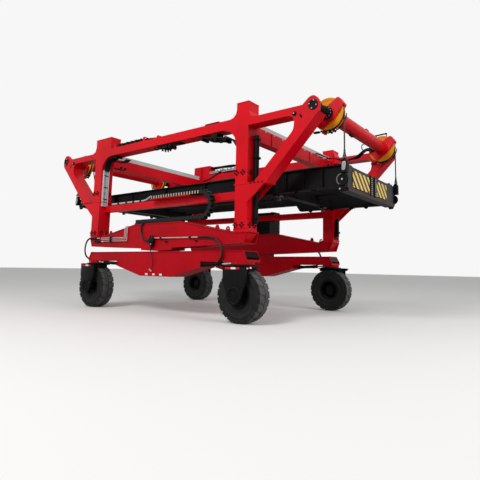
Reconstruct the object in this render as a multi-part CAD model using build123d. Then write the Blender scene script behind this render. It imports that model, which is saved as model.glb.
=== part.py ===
from build123d import *
import cmath
import math
import os

# Rubber tyred gantry crane: a small straddling gantry on four steered wheels. Two welded side
# frames are joined by two cross beams and by two round cross tubes at their cantilevered heads.
# Four narrow hoist drums at the heads carry a lifting frame (the spreader) on four wire ropes.
# Millimetres. +X is the front, +Y the left side (called far), +Z up, the origin on the ground at the
# middle of the crane. The near side frame lies at negative Y and the far one mirrors it.

# Rounded corners are drawn in straight steps of about this length
corner_chord = 110

# Wheels: rings with flat sides, tyre and rim with the same number of them
wheelbase = 5360
tyre_radius = 590
tyre_width = 374
wheel_sides = 14
lug_depth = 26
lug_root = 124
lug_tip = 98
lug_sink = 30
shoulder_set = 22
sidewall_rise = 96
sidewall_bulge = 8
sidewall_foot = 20
rim_seat_radius = 262
rim_lip = 20
rim_wall = 26
rim_bead = 21
disc_thickness = 30
disc_inset = 75
bead_gap = 0.3
hub_radius = 118
hub_gap = 0.8

# Half fork, its hood and its slewing ring
cheek_gap = 103
cheek_thickness = 40
hood_clearance = 15
hood_thickness = 30
hood_inset = 3
hood_half = 318
skirt_depth = 95
skirt_thickness = 18
skirt_inset = 90
cheek_shoulder = 325
cheek_foot = 190
hub_cover_radius = 178
hub_cover_height = 22
hub_cover_sides = 8
ring_height = 85
ring_race = 55
ring_outer = 250
ring_inner = 176
ring_gap = 3
ring_sides = 8

# Rocker, the wheel beam under each sill, and its pivot
rocker_width = 520
rocker_end_depth = 245
rocker_end_reach = 200
rocker_end_slant = 90
rocker_nose_height = 75
rocker_knee_drop = 130
rocker_belly_drop = 380
rocker_knee_x = 1550
rocker_belly_x = 560
rocker_end_pocket = 380
web_inset = 14
flange_plate = 22
rocker_pin_drop = 225
rocker_pin_radius = 60
tongue_thickness = 100
tongue_width = 300
tongue_bevel = 0.7
slot_gap = 12
slot_room = 60
pin_fit = 0.6
pin_end = 20
packing_x = 380
packing_length = 360

# Side frame
frame_outer = 2295
wheel_inset = 175
leg_offset = 15
leg_length = 335
leg_width = 385
sill_gap = 85
sill_width = 465
sill_end_reach = 175
sill_end_depth = 258
sill_end_rise = 72
sill_end_slant = 85
sill_middle_depth = 640
sill_flat_x = 870
slope_setback = 127.5
sill_bottom_x = 600
sill_pocket = 260
flange_thickness = 30
flange_edge = 34
lower_leg_height = 1000
upper_leg_clear = 1330
beam_depth = 220
beam_width = 330
leg_stub = 330
far_front_stub = 180
cap_thickness = 20
cap_edge = 6
rear_head_length = 714
beam_stub = 438
arm_stub = 267
haunch_low = 420
haunch_high = 200
haunch_front = 170
arm_drop = 50
strut_heel = 175
strut_foot = 522
strut_crook = 180
gusset_reach = 427
gusset_drop = 400
gusset_web = 40
gusset_inner_web = 20
gusset_deck = 25
saddle_half = 570
saddle_gap = 8
saddle_end_gap = 33
rail_depth = 180
rail_drop = 280
rail_setback = 20

# Heads, drums and ropes
head_reach = 1785
hub_drop = 95
nose_plate = 70
nose_top = 196
nose_back = 250
nose_crown_back = 75
nose_crown_front = 40
nose_front = 152
nose_shoulder = 60
knuckle_back = 165
knuckle_drop = 150
knuckle_front = 125
nose_chin = 265
chin_front = 15
nose_heel = 440
drum_radius = 355
groove_depth = 17
groove_gap = 4
drum_width = 110
drum_rim = 14
drum_sides = 12
drum_shaft = 60
rope_radius = 13
rope_gap = 0.3
drum_setback = 697
rope_length = 815
yoke_gap = 8
yoke_plate = 30
rim_clearance = 15
yoke_above = 125
yoke_below = 210
yoke_tail = 300
yoke_tail_cut = 60
yoke_end_inset = 40
yoke_end_below = 90
yoke_angle = 34
tube_radius = 160
tube_rise = 25
tube_sides = 12
flange_radius = 105
motor_radius = 140
motor_flange = 24
motor_sides = 8

# Cross beams between the legs
cross_beam_drop = 150
cross_beam_depth = 320
cross_beam_length = 240
cross_beam_sink = 100
cross_end_plate = 30
cross_end_edge = 40
trunk_height = 130
trunk_width = 170
trunk_offset = 30
trunk_end = 20

# Spreader
corner_inset = 21
lug_stand = 62
lug_half = 60
lug_crown = 25
lug_fall = 50
lug_root_depth = 200
socket_width = 90
socket_length = 130
socket_radius = 34
link_length = 60
link_half = 18
lug_height = 90
spreader_depth = 483
spreader_mid_depth = 300
deep_rear = 2590
deep_front = 1970
deep_ramp = 120
taper_x = 3800
taper_rise = 243
rear_flange_drop = 20
side_flange = 150
side_plate = 25
web_back = 60
web_plate = 20
rib_plate = 16
corner_plate = 20
end_beam_depth = 200
end_flange_drop = 65
hazard_proud = 12
hazard_spans = [(-1180, -230), (210, 890)]
hazard_foot = 45
hazard_head = 70
column_places = [-150, 90]
column_half = 35
corner_guide_length = 190
corner_guide_toe = 50
corner_guide_drop = 95
girder_y = 590
girder_width = 220
girder_top_gap = 10
lock_x = 2926.5
lock_y = 1129.5
lock_beam_width = 220
lock_beam_depth = 230
lock_beam_rise = 30
lock_housing = 160
lock_shank = 24
lock_hang = 95

# Fittings on the side frames
guide_radius = 60
guide_bottom = 170
guide_top = 190
chain_low_x = (-870, 1460)
chain_top_x = -320
chain_link = 90
chain_width = 135
chain_pitch = 150
chain_notch = 14
chain_turns = 12
chain_seat = 25
chain_edge = 10
tray_plate = 15
eye_places = [(542.5, 44), (227.5, 62)]
eye_half = 48
eye_foot = 62
eye_plate = 30
eye_bore = 22
eye_inset = 65
pack_x = (-850, 650)
pack_height = 740
pack_gap = 10

MIRROR_Y = Plane.XZ
MIRROR_X = Plane.YZ

# Places that follow from the sizes, from the ground up
wheel_x = wheelbase / 2
wheel_y = frame_outer - wheel_inset
hood_top = 2 * tyre_radius + hood_clearance + hood_thickness
rocker_bottom = hood_top + ring_height
rocker_top = rocker_bottom + rocker_end_depth
pin_z = rocker_top - rocker_pin_drop
sill_bottom = rocker_top + sill_gap
sill_top = sill_bottom + sill_middle_depth
sill_end_top = sill_bottom + sill_end_rise + sill_end_depth
foot_z = sill_end_top + flange_thickness
seam_z = foot_z + lower_leg_height
beam_bottom = seam_z + upper_leg_clear
beam_top = beam_bottom + beam_depth
arm_top = beam_top - arm_drop
strut_base = seam_z + flange_thickness
rail_bottom = seam_z - rail_drop
tray_top = rail_bottom + rail_depth + tray_plate
chain_z = sill_top + chain_seat
chain_y = (-frame_outer + chain_edge, -frame_outer + chain_edge + chain_width)
chain_radius = (tray_top - chain_z + chain_link) / 2
leg_x = wheel_x + leg_offset
leg_in = leg_x - leg_length / 2
leg_out = leg_x + leg_length / 2
near_in = -(frame_outer - leg_width)
beam_in = -(frame_outer - beam_width)
sill_slope_x = leg_in - slope_setback
hub_x = leg_x + head_reach
hub_z = beam_top - hub_drop
knuckle_top = hub_z - knuckle_drop
chin_z = hub_z - nose_chin
rope_y = frame_outer - drum_setback
groove_radius = drum_radius - groove_depth
rope_x = hub_x + groove_radius + rope_radius + rope_gap
rope_foot = hub_z - rope_length
lug_top = rope_foot - socket_length - link_length
spreader_top = lug_top - lug_height
spreader_bottom = spreader_top - spreader_depth
spreader_mid = spreader_top - spreader_mid_depth
spreader_rear = spreader_bottom + taper_rise
spreader_half_length = rope_x - corner_inset
spreader_half_width = rope_y - lug_stand
fork_out = wheel_y + tyre_width / 2 + cheek_gap + cheek_thickness
fork_in = wheel_y - tyre_width / 2 - hood_inset


def upright(y):
    # A drawing plane facing the near side: local x is X and local y is Z
    return Plane(origin=(0, y, 0), x_dir=(1, 0, 0), z_dir=(0, -1, 0))


def rounded(points):
    # Corners given as (x, z, radius) are rounded as far as their two sides allow
    path = []
    for k, p in enumerate(points):
        here = complex(p[0], p[1])
        if len(p) == 2:
            path.append(here)
            continue
        near = [points[k - 1], points[(k + 1) % len(points)]]
        before, after = [complex(q[0], q[1]) - here for q in near]
        room = min(abs(v) * (0.96 if len(q) == 2 else 0.48) for v, q in zip((before, after), near))
        half = abs(cmath.phase(after / before)) / 2
        reach = min(p[2] / math.tan(half), room)
        start, end = [here + reach * v / abs(v) for v in (before, after)]
        inward = start + end - 2 * here
        centre = here + inward / abs(inward) * reach / math.cos(half)
        sweep = cmath.phase((end - centre) / (start - centre))
        steps = max(2, round(abs(sweep) * reach * math.tan(half) / corner_chord))
        path += [centre + (start - centre) * cmath.rect(1, sweep * i / steps) for i in range(steps + 1)]
    return [(c.real, c.imag) for c in path]


def outline(points):
    # A closed outline whose points are (x, z) or (x, z, corner radius)
    return make_face(Polyline(*rounded(points), close=True))


def plate(points, y0, y1):
    # An outline in XZ given thickness from y0 to y1
    return extrude(upright(y0) * outline(points), amount=-(y1 - y0))


def both_ways(half):
    # A half outline from the front completed by its mirror image at the rear
    return half + [(-p[0],) + tuple(p[1:]) for p in reversed(half)]


def block(x0, x1, y0, y1, z0, z1):
    middle = ((x0 + x1) / 2, (y0 + y1) / 2, (z0 + z1) / 2)
    return Pos(*middle) * Box(abs(x1 - x0), abs(y1 - y0), abs(z1 - z0))


def bar_y(x, z, radius, y0, y1):
    # A round bar along Y
    return Pos(x, (y0 + y1) / 2, z) * Rot(90, 0, 0) * Cylinder(radius, abs(y1 - y0))


def bar_z(x, y, radius, z0, z1):
    return Pos(x, y, (z0 + z1) / 2) * Cylinder(radius, abs(z1 - z0))


def prism_y(x, z, radius, y0, y1, sides, to_corner=True):
    # A flat sided bar along Y, its radius measured to the corners or to the flats
    face = upright(min(y0, y1)) * Pos(x, z) * RegularPolygon(radius, sides, major_radius=to_corner)
    return extrude(face, amount=-abs(y1 - y0))


def prism_z(x, y, radius, z0, z1, sides, to_corner=True):
    face = Pos(x, y, z0) * RegularPolygon(radius, sides, major_radius=to_corner)
    return extrude(face, amount=z1 - z0)


def wheel_ring(profile, sides, turn=0.0):
    # A flat sided ring about the Y axis from a closed profile of (corner radius, y) points, its first
    # corner at the given part of a step from the X axis
    step = 2 * math.pi / sides

    def corner(k, point):
        a = (k + turn) * step
        return Vector(point[0] * math.cos(a), point[1], point[0] * math.sin(a))

    faces = []
    for k in range(sides):
        for a, b in zip(profile, profile[1:] + profile[:1]):
            corners = [corner(k, a), corner(k, b), corner(k + 1, b), corner(k + 1, a)]
            faces.append(Face(Wire.make_polygon(corners, close=True)))
    return Solid(Shell(faces))


def mirrored_profile(side):
    # A profile of (radius, distance from the middle) points completed across the middle plane
    return [(r, -y) for r, y in side] + [(r, y) for r, y in reversed(side)]


def front_and_rear(shape):
    return [shape, mirror(shape, MIRROR_X)]


def to_far(shapes):
    return [mirror(s, MIRROR_Y) for s in shapes]


def all_corners(shape):
    pair = front_and_rear(shape)
    return pair + to_far(pair)


def save(name, shapes):
    solids = []
    for s in shapes:
        solids += s.solids()
    export_step(Compound(children=solids), f"parts/{name}.step")


# Side frames, near side, front end unless it says otherwise
def upper_beam():
    end = leg_in - beam_stub
    return block(-end, end, -frame_outer, beam_in, beam_bottom, beam_top)


def leg(head_length, head_in, stub):
    # Upper leg with its curved haunches, the box above the beam, cap plate and bolting flange
    top = beam_top + stub
    post = block(leg_in, leg_out, -frame_outer, near_in, seam_z + flange_thickness, top)
    low = beam_bottom - haunch_low - flange_thickness
    haunches = plate(
        [(leg_in - beam_stub, beam_bottom), (leg_in, beam_bottom, haunch_low), (leg_in, low),
         (leg_out, low), (leg_out, beam_bottom), (leg_out + arm_stub, beam_bottom),
         (leg_out + arm_stub, arm_top), (leg_out, arm_top, haunch_front), (leg_out, top),
         (leg_in, top), (leg_in, beam_top, haunch_high), (leg_in - beam_stub, beam_top)],
        -frame_outer, beam_in)
    head = block(leg_out - head_length, leg_out, -frame_outer, head_in, beam_top, top)
    cap = block(leg_out - head_length - cap_edge, leg_out + cap_edge, -frame_outer - cap_edge,
                head_in + cap_edge, top, top + cap_thickness)
    foot = block(leg_in - flange_edge, leg_out, -frame_outer, near_in,
                 seam_z, seam_z + flange_thickness)
    return post + haunches + head + cap + foot


def arm():
    # Cantilever arm and the knuckle at its end, with the nose plate that carries the drum's gearbox
    box_end = hub_x - knuckle_back
    box = plate([(leg_out + arm_stub, beam_bottom), (leg_out + arm_stub, arm_top), (box_end, arm_top),
                 (box_end, knuckle_top), (hub_x + knuckle_front, knuckle_top), (hub_x + chin_front, chin_z),
                 (hub_x - nose_heel, chin_z), (hub_x - nose_heel, beam_bottom, haunch_front)],
                -frame_outer, beam_in)
    top = hub_z + nose_top
    nose = plate([(hub_x - nose_back, arm_top), (hub_x - nose_crown_back, top, nose_top),
                  (hub_x + nose_crown_front, top, nose_top),
                  (hub_x + nose_front, hub_z + nose_shoulder, nose_top),
                  (hub_x + knuckle_front, knuckle_top), (hub_x - nose_back, knuckle_top)],
                 -frame_outer, -frame_outer + nose_plate)
    return box + nose


def strut():
    # Inclined strut from the bolted seam up to the knuckle, and its foot plate
    points = [(leg_out + strut_heel, strut_base), (leg_out + strut_foot, strut_base),
              (hub_x + chin_front, chin_z), (hub_x - nose_heel, chin_z),
              (hub_x - nose_heel - cross_end_edge / 2, chin_z - strut_crook, haunch_front)]
    foot = block(leg_out, leg_out + strut_foot, -frame_outer, beam_in, seam_z, strut_base)
    return plate(points, -frame_outer, beam_in) + foot


def lower_leg():
    # Lower leg from its foot flange to the bolted seam, with two gusset webs under a deck plate
    post = block(leg_in, leg_out, -frame_outer, near_in, foot_z, seam_z)
    toe = leg_out + gusset_reach
    web = [(leg_out - flange_edge, seam_z), (leg_out - flange_edge, seam_z - gusset_drop),
           (leg_out, seam_z - gusset_drop), (toe, seam_z - flange_edge), (toe, seam_z)]
    near_web = plate(web, -frame_outer, -frame_outer + gusset_web)
    inner_web = plate(web, beam_in - gusset_inner_web, beam_in)
    deck = block(leg_out, leg_out + strut_foot, -frame_outer, beam_in, seam_z - gusset_deck, seam_z)
    foot = block(leg_in - flange_edge, leg_out + cap_edge, -frame_outer, near_in, sill_end_top, foot_z)
    return post + near_web + inner_web + deck + foot


def mid_rail():
    y1 = near_in - rail_setback
    return block(-leg_in, leg_in, y1 - rail_depth, y1, rail_bottom, rail_bottom + rail_depth)


def girder(points, width, pocket):
    # A plate girder: flanges all round the outline and webs set in from both faces
    solid = plate(points, -frame_outer, -frame_outer + width)
    inner = offset(outline(points), amount=-flange_plate, kind=Kind.INTERSECTION)
    for y in (-frame_outer, -frame_outer + width - web_inset):
        solid -= extrude(upright(y) * inner, amount=-web_inset)
    return solid - pocket - mirror(pocket, MIRROR_X)


def sill():
    # Lower side beam, deepest in the middle, its ends slanted and open
    end = leg_x + sill_end_reach
    half = [(sill_flat_x, sill_top), (sill_slope_x, sill_end_top), (end, sill_end_top),
            (end, sill_end_top - flange_plate), (end - sill_end_slant, sill_bottom + sill_end_rise),
            (sill_bottom_x, sill_bottom)]
    pocket = block(end - sill_pocket, end + 1, -frame_outer + 2 * web_inset,
                   -frame_outer + sill_width - 2 * web_inset,
                   sill_bottom + sill_end_rise + flange_plate, sill_end_top - flange_plate)
    return girder(both_ways(half), sill_width, pocket)


tongue_y = -frame_outer + rocker_width / 2


def tongue():
    # Pivot plate under the sill that hangs into the rocker's slot and takes the pin
    half = tongue_width / 2
    y0, y1 = tongue_y - tongue_thickness / 2, tongue_y + tongue_thickness / 2
    lug = plate([(-half, sill_bottom), (-half, pin_z), (-half * tongue_bevel, pin_z - half * tongue_bevel),
                 (0, pin_z - half), (half * tongue_bevel, pin_z - half * tongue_bevel), (half, pin_z),
                 (half, sill_bottom)],
                y0, y1)
    return lug - bar_y(0, pin_z, rocker_pin_radius + pin_fit, y0 - 1, y1 + 1)


def saddle():
    # Shallow seat under the middle of the near sill, cut to clear the rocker as it swings
    return plate([(-saddle_half, sill_bottom), (-saddle_half, rocker_top + saddle_end_gap),
                  (0, rocker_top + saddle_gap), (saddle_half, rocker_top + saddle_end_gap),
                  (saddle_half, sill_bottom)], -frame_outer, -frame_outer + sill_width)


def rocker():
    # Wheel beam: shallow at its open ends, with a deep belly under the pivot
    end = wheel_x + rocker_end_reach
    half = [(end - rocker_end_slant, rocker_top), (end, rocker_bottom + rocker_nose_height),
            (end, rocker_bottom), (rocker_knee_x, rocker_bottom),
            (rocker_knee_x, rocker_bottom - rocker_knee_drop),
            (rocker_belly_x, rocker_bottom - rocker_belly_drop)]
    pocket = block(end - rocker_end_pocket, end + 1, -frame_outer + 2 * web_inset,
                   -frame_outer + rocker_width - 2 * web_inset,
                   rocker_bottom + rocker_nose_height - flange_plate, rocker_top - flange_plate)
    solid = girder(both_ways(half), rocker_width, pocket)
    race = prism_z(wheel_x, -wheel_y, ring_outer, rocker_bottom - ring_race, rocker_bottom, ring_sides)
    race -= prism_z(wheel_x, -wheel_y, ring_inner, rocker_bottom - ring_race - 1, rocker_bottom,
                    ring_sides, to_corner=False)
    return solid + race + mirror(race, MIRROR_X)


def swinging_rocker():
    # The near rocker has a slot for the tongue and the pivot pin across it
    half = tongue_width / 2 + slot_room
    y0, y1 = tongue_y - tongue_thickness / 2 - slot_gap, tongue_y + tongue_thickness / 2 + slot_gap
    slot = block(-half, half, y0, y1, pin_z - half, rocker_top + 1)
    pin = bar_y(0, pin_z, rocker_pin_radius, y0 - pin_end, y1 + pin_end)
    return rocker() - slot + pin


def packing_blocks():
    # The far rocker doesn't swing: two blocks carry its sill
    return [block(x - packing_length / 2, x + packing_length / 2, -frame_outer + 2 * web_inset,
                  -frame_outer + sill_width - 2 * web_inset, rocker_top, sill_bottom)
            for x in (-packing_x, packing_x)]


def fork():
    # Half fork: hood over the tyre, turntable, one outer cheek, hub cover and wheel spindle
    x0, x1 = wheel_x - hood_half, wheel_x + hood_half
    y0 = -fork_out
    solid = block(x0, x1, y0, -fork_in, hood_top - hood_thickness, hood_top)
    for s0, s1 in ((x0, x0 + skirt_thickness), (x1 - skirt_thickness, x1)):
        solid += block(s0, s1, y0, -fork_in - skirt_inset, hood_top - skirt_depth, hood_top)
    foot = [(wheel_x + cheek_foot * math.cos(a), tyre_radius - cheek_foot * math.sin(a))
            for a in (math.pi * k / 4 for k in range(5))]
    solid += plate([(x0, hood_top), (x1, hood_top), (x1, hood_top - cheek_shoulder)] + foot
                   + [(x0, hood_top - cheek_shoulder)], y0, y0 + cheek_thickness)
    solid += prism_y(wheel_x, tyre_radius, hub_cover_radius, y0 - hub_cover_height, y0, hub_cover_sides)
    solid += bar_y(wheel_x, tyre_radius, hub_radius, y0 + 1, -wheel_y + tyre_width / 4)
    table_top = rocker_bottom - ring_race - ring_gap
    solid += prism_z(wheel_x, -wheel_y, ring_outer, hood_top, table_top, ring_sides)
    solid += bar_z(wheel_x, -wheel_y, ring_inner - hub_gap, table_top, rocker_bottom - ring_gap)
    return solid


def tyre():
    # Carcass ring with two staggered rows of tread lugs that reach over its shoulders
    half = tyre_width / 2
    base = tyre_radius - lug_depth
    flat = math.cos(math.pi / wheel_sides)
    seat = half - rim_lip - rim_bead
    side = [(rim_seat_radius + bead_gap, seat),
            (rim_seat_radius + rim_lip + sidewall_foot, half - sidewall_bulge),
            (base - sidewall_rise, half), (base, half - shoulder_set)]
    solid = wheel_ring([(r / flat, y) for r, y in mirrored_profile(side)], wheel_sides, 0.5)
    lug = make_face(Polyline((base - lug_sink, -lug_root / 2), (tyre_radius, -lug_tip / 2),
                             (tyre_radius, lug_tip / 2), (base - lug_sink, lug_root / 2), close=True))
    lugs = []
    for k in range(wheel_sides):
        for y0, part in ((-half, k), (0, k + 0.5)):
            lugs.append(extrude(upright(y0) * Rot(0, 0, part * 360 / wheel_sides) * lug, amount=-half))
    return Pos(wheel_x, -wheel_y, tyre_radius) * (solid + lugs)


def rim():
    # Wheel rim: barrel with two lips and a disc in it, bored for the spindle
    half = tyre_width / 2
    flat = math.cos(math.pi / wheel_sides)
    lip = rim_seat_radius + rim_lip
    inner = rim_seat_radius - rim_wall
    sleeve = hub_radius + hub_gap
    edge = half - rim_lip
    profile = [(sleeve, -half / 4), (inner, half - disc_inset - disc_thickness), (inner, -edge), (lip, -edge),
               (rim_seat_radius, rim_bead - edge), (rim_seat_radius, edge - rim_bead), (lip, edge),
               (inner, edge), (inner, half - disc_inset), (sleeve, half - disc_inset)]
    ring = wheel_ring([(r / flat, -y) for r, y in profile], wheel_sides, 0.5)
    return Pos(wheel_x, -wheel_y, tyre_radius) * ring


# Cross members between the side frames
def cross_beam():
    # Box beam between the legs with a bolted end plate on each leg
    z1 = beam_bottom - cross_beam_drop + cross_beam_depth - cross_beam_sink
    z0 = z1 - cross_beam_depth
    x0, x1 = leg_x - cross_beam_length / 2, leg_x + cross_beam_length / 2
    solid = block(x0, x1, near_in, -near_in, z0, z1)
    for y in (near_in, -near_in - cross_end_plate):
        solid += block(x0 - cross_end_edge, x1 + cross_end_edge, y, y + cross_end_plate,
                       z0 - cross_end_edge, z1)
    return solid


def cable_trunk():
    z0 = beam_bottom - cross_beam_drop + cross_beam_depth - cross_beam_sink
    x = leg_x - trunk_offset
    return block(x - trunk_width / 2, x + trunk_width / 2, near_in + trunk_end, -near_in - trunk_end,
                 z0, z0 + trunk_height)


drum_in = rope_y - drum_width / 2 - yoke_gap
drum_out = rope_y + drum_width / 2 + yoke_gap
yoke_reach = drum_radius + rim_clearance


def yoke(side):
    # Two broad cheeks beside the drum, joined past its rim by a bridge plate, and the drum's axle
    a = math.radians(yoke_angle)
    end = yoke_reach + yoke_plate
    bevel = yoke_end_inset
    cheek = outline([(-yoke_tail, -yoke_below + yoke_tail_cut), (-yoke_tail + bevel, -yoke_below),
                     (bevel, -yoke_below), (yoke_reach - bevel, -yoke_end_below - bevel / 2),
                     (end, -yoke_end_below + bevel / 2), (end, yoke_end_below), (end - bevel, yoke_above),
                     (-yoke_tail, yoke_above)])
    bridge = outline([(yoke_reach, -yoke_end_below), (end, -yoke_end_below + bevel / 2),
                      (end, yoke_end_below), (yoke_reach, yoke_end_below)])
    solid = bar_y(hub_x, hub_z, drum_shaft, side * (drum_in - 1), side * (drum_out + 1))
    for shape, inner, outer in ((cheek, drum_in - yoke_plate, drum_in),
                                (cheek, drum_out, drum_out + yoke_plate),
                                (bridge, drum_in - yoke_plate, drum_out + yoke_plate)):
        y0, y1 = sorted((side * inner, side * outer))
        local = Plane(origin=(hub_x, y0, hub_z), x_dir=(math.cos(a), 0, math.sin(a)), z_dir=(0, -1, 0))
        solid += extrude(local * shape, amount=-(y1 - y0))
    return solid


def cross_tube():
    # Round tube between the heads with a yoke at each end
    end = drum_in - yoke_plate
    tube = prism_y(hub_x, hub_z + tube_rise, tube_radius, -end, end, tube_sides)
    return tube + yoke(-1) + yoke(1)


def hoist_motor():
    # Flange outside the nose plate, and the motor between the nose plate and the yoke
    flange = prism_y(hub_x, hub_z, flange_radius, -frame_outer - motor_flange, -frame_outer, motor_sides)
    body = prism_y(hub_x, hub_z, motor_radius, -frame_outer + nose_plate, -(drum_out + yoke_plate),
                   motor_sides)
    return [flange, body]


def drum():
    # Narrow rope drum with one deep groove, bored for the axle
    half = drum_width / 2
    bed = rope_radius + groove_gap
    bore = (drum_shaft + hub_gap) / math.cos(math.pi / drum_sides)
    side = [(bore, half), (drum_radius, half), (drum_radius, half - drum_rim), (groove_radius, bed)]
    ring = wheel_ring(mirrored_profile(side), drum_sides)
    return Pos(hub_x, -rope_y, hub_z) * ring


def rope():
    return prism_z(rope_x, -rope_y, rope_radius, rope_foot, hub_z, 6)


# Spreader, near front corner unless it says otherwise
rib_places = [-4280, -3600, -2910, -2050, -600, 900, 2750, 3370, 3820, 4280]


def spreader_side():
    # Side beam: web, two flanges and upright stiffeners, shallower in its middle and at its rear end
    y0 = -spreader_half_width
    end = spreader_half_length - corner_plate
    ramp = deep_ramp / 2
    path = [(-end, spreader_rear), (-taper_x, spreader_bottom), (-deep_rear - ramp, spreader_bottom),
            (-deep_rear + ramp, spreader_mid), (deep_front - ramp, spreader_mid),
            (deep_front + ramp, spreader_bottom), (end, spreader_bottom)]
    solid = plate(path + [(end, spreader_top), (-end, spreader_top)], y0 + web_back,
                  y0 + web_back + web_plate)
    solid += block(-end, end, y0, y0 + side_flange, spreader_top - side_plate, spreader_top)
    lower = path + [(x, z + side_plate) for x, z in reversed(path)]
    solid += plate(lower, y0, y0 + side_flange)
    for x in rib_places:
        low = next(z0 + (z1 - z0) * (x - x0) / (x1 - x0)
                   for (x0, z0), (x1, z1) in zip(path, path[1:]) if x0 <= x <= x1)
        solid += block(x - rib_plate / 2, x + rib_plate / 2, y0 + rib_plate / 2, y0 + web_back + 1,
                       low + side_plate / 2, spreader_top - side_plate / 2)
    return solid


def spreader_end(bottom, flange_drop):
    # Box beam across the end, with two raised plates, a lower flange and a pair of cable columns
    y1 = spreader_half_width - side_flange
    x1 = spreader_half_length
    solid = block(x1 - end_beam_depth, x1, -y1, y1, bottom, spreader_top)
    solid += block(x1 - end_beam_depth, x1 + hazard_proud, -y1, y1, bottom - flange_drop,
                   bottom)
    for y_low, y_high in hazard_spans:
        solid += block(x1, x1 + hazard_proud, y_low, y_high, bottom + hazard_foot,
                       spreader_top - hazard_head)
    for y in column_places:
        solid += block(x1, x1 + 3 * hazard_proud, y - column_half, y + column_half, bottom,
                       spreader_top)
    return solid


def spreader_corner(bottom):
    # Corner post that joins side and end beams, the rope's lug and the landing guide below
    y0 = -spreader_half_width
    post = block(spreader_half_length - corner_plate, spreader_half_length, y0, y0 + side_flange,
                 bottom, spreader_top)
    top = spreader_top + lug_height
    root = spreader_top - lug_root_depth
    lug = plate([(rope_x - lug_half, root), (rope_x + lug_half, root), (rope_x + lug_half, top - lug_fall),
                 (rope_x + lug_crown, top), (rope_x - lug_crown, top), (rope_x - lug_half, top - lug_fall)],
                -rope_y - corner_inset, y0)
    x1, z1 = spreader_half_length, bottom - corner_guide_drop
    slope = (bottom - spreader_bottom) / (x1 - corner_plate - taper_x)
    fall = slope * (corner_guide_length - corner_plate)
    guide = plate([(x1 - corner_guide_length, bottom - fall), (x1 - corner_plate, bottom), (x1, bottom),
                   (x1 - corner_guide_toe, z1), (x1 - corner_guide_length + corner_guide_toe, z1)],
                  y0, y0 + 2 * corner_plate)
    return post + lug + guide


def rope_socket():
    # Socket and link between the rope and the spreader's lug
    knob = prism_z(rope_x, -rope_y, socket_radius, rope_foot - socket_length, rope_foot, 6)
    link = block(rope_x - link_half, rope_x + link_half, -rope_y - socket_width / 2,
                 -rope_y + socket_width / 2, lug_top, rope_foot - socket_length)
    return knob + link


def lock_beam():
    # Cross member over the corner locks, between the side beams' webs
    y1 = spreader_half_width - web_back - web_plate
    z0 = spreader_bottom + lock_beam_rise
    return block(lock_x - lock_beam_width / 2, lock_x + lock_beam_width / 2, -y1, y1, z0,
                 z0 + lock_beam_depth)


def spreader_girder():
    # Lengthwise box beam on the cross members, from end beam to end beam
    end = spreader_half_length - end_beam_depth
    return block(-end, end, -girder_y - girder_width / 2, -girder_y + girder_width / 2,
                 spreader_bottom + lock_beam_rise + lock_beam_depth, spreader_top - girder_top_gap)


def twistlock():
    # Corner lock: housing under the cross member, shank and turning head
    half = lock_housing / 2
    z0 = spreader_bottom - girder_top_gap
    housing = block(lock_x - half, lock_x + half, -lock_y - half, -lock_y + half, z0,
                    spreader_bottom + lock_beam_rise)
    shank = prism_z(lock_x, -lock_y, lock_shank, z0 - 1 - lock_hang / 2, z0, 6)
    head = block(lock_x - 2 * lock_shank, lock_x + 2 * lock_shank, -lock_y - lock_shank,
                 -lock_y + lock_shank, spreader_bottom - lock_hang, spreader_bottom - lock_hang / 2)
    return housing + shank + head


# Fittings on the side frames
def leg_guides():
    # Upright guide pipe on the forward face of the front leg, in two lengths either side of the seam
    x, y = leg_out + guide_radius, beam_in - gusset_inner_web - guide_radius - pin_fit
    spans = ((sill_end_top + guide_bottom, seam_z - gusset_deck), (strut_base, beam_bottom - guide_top))
    return [prism_z(x, y, guide_radius, z0, z1, motor_sides) for z0, z1 in spans]


def energy_chain():
    # Cable carrier: lower run, bend and upper run with a groove between every two links
    x_bend = chain_low_x[1]
    y0, y1 = chain_y
    top = chain_z + 2 * chain_radius
    low_run = block(chain_low_x[0], x_bend, y0, y1, chain_z, chain_z + chain_link)
    top_run = block(chain_top_x, x_bend, y0, y1, top - chain_link, top)
    bend = []
    for radius in (chain_radius, chain_radius - chain_link):
        arc = [(x_bend + radius * math.sin(math.pi * k / chain_turns),
                chain_z + chain_radius - radius * math.cos(math.pi * k / chain_turns))
               for k in range(chain_turns + 1)]
        bend += arc if radius == chain_radius else arc[::-1]
    solid = low_run + top_run + plate(bend, y0, y1)
    runs = ((chain_low_x[0], chain_z + chain_link), (chain_top_x, top))
    for start, z in runs:
        for k in range(1, int((x_bend - start) / chain_pitch)):
            x = start + k * chain_pitch
            solid -= block(x - chain_notch / 2, x + chain_notch / 2, y0 - 1, y1 + 1, z - chain_notch, z + 1)
    return solid


def chain_trough():
    # Shallow trough on the sill under the lower run
    return block(chain_low_x[0] - 2 * chain_edge, sill_flat_x - 2 * chain_edge, chain_y[0] - chain_edge / 2,
                 chain_y[1] + chain_edge, sill_top, chain_z)


def chain_tray():
    # Shelf on the mid rail that carries the upper run
    return block(chain_top_x - 3 * chain_edge, chain_low_x[1] - chain_radius, chain_y[0] - chain_edge / 2,
                 near_in - rail_setback - rail_depth / 2, tray_top - tray_plate, tray_top)


def power_pack():
    # Engine and hydraulics in one housing on the far sill: its low part passes under the mid rail
    # and its high part stands outside it
    y_in, y_out = frame_outer - sill_width + 2 * chain_edge, fork_out
    y_rail = -near_in + rail_setback + rail_depth + pack_gap
    z_rail = rail_bottom - 2 * pack_gap
    section = [(y_in, sill_top), (y_out, sill_top), (y_out, sill_top + pack_height),
               (y_rail, sill_top + pack_height), (y_rail, z_rail), (y_in, z_rail)]
    face = make_face(Polyline(*[(pack_x[0], y, z) for y, z in section], close=True))
    return extrude(face, amount=pack_x[1] - pack_x[0], dir=(1, 0, 0))


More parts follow.
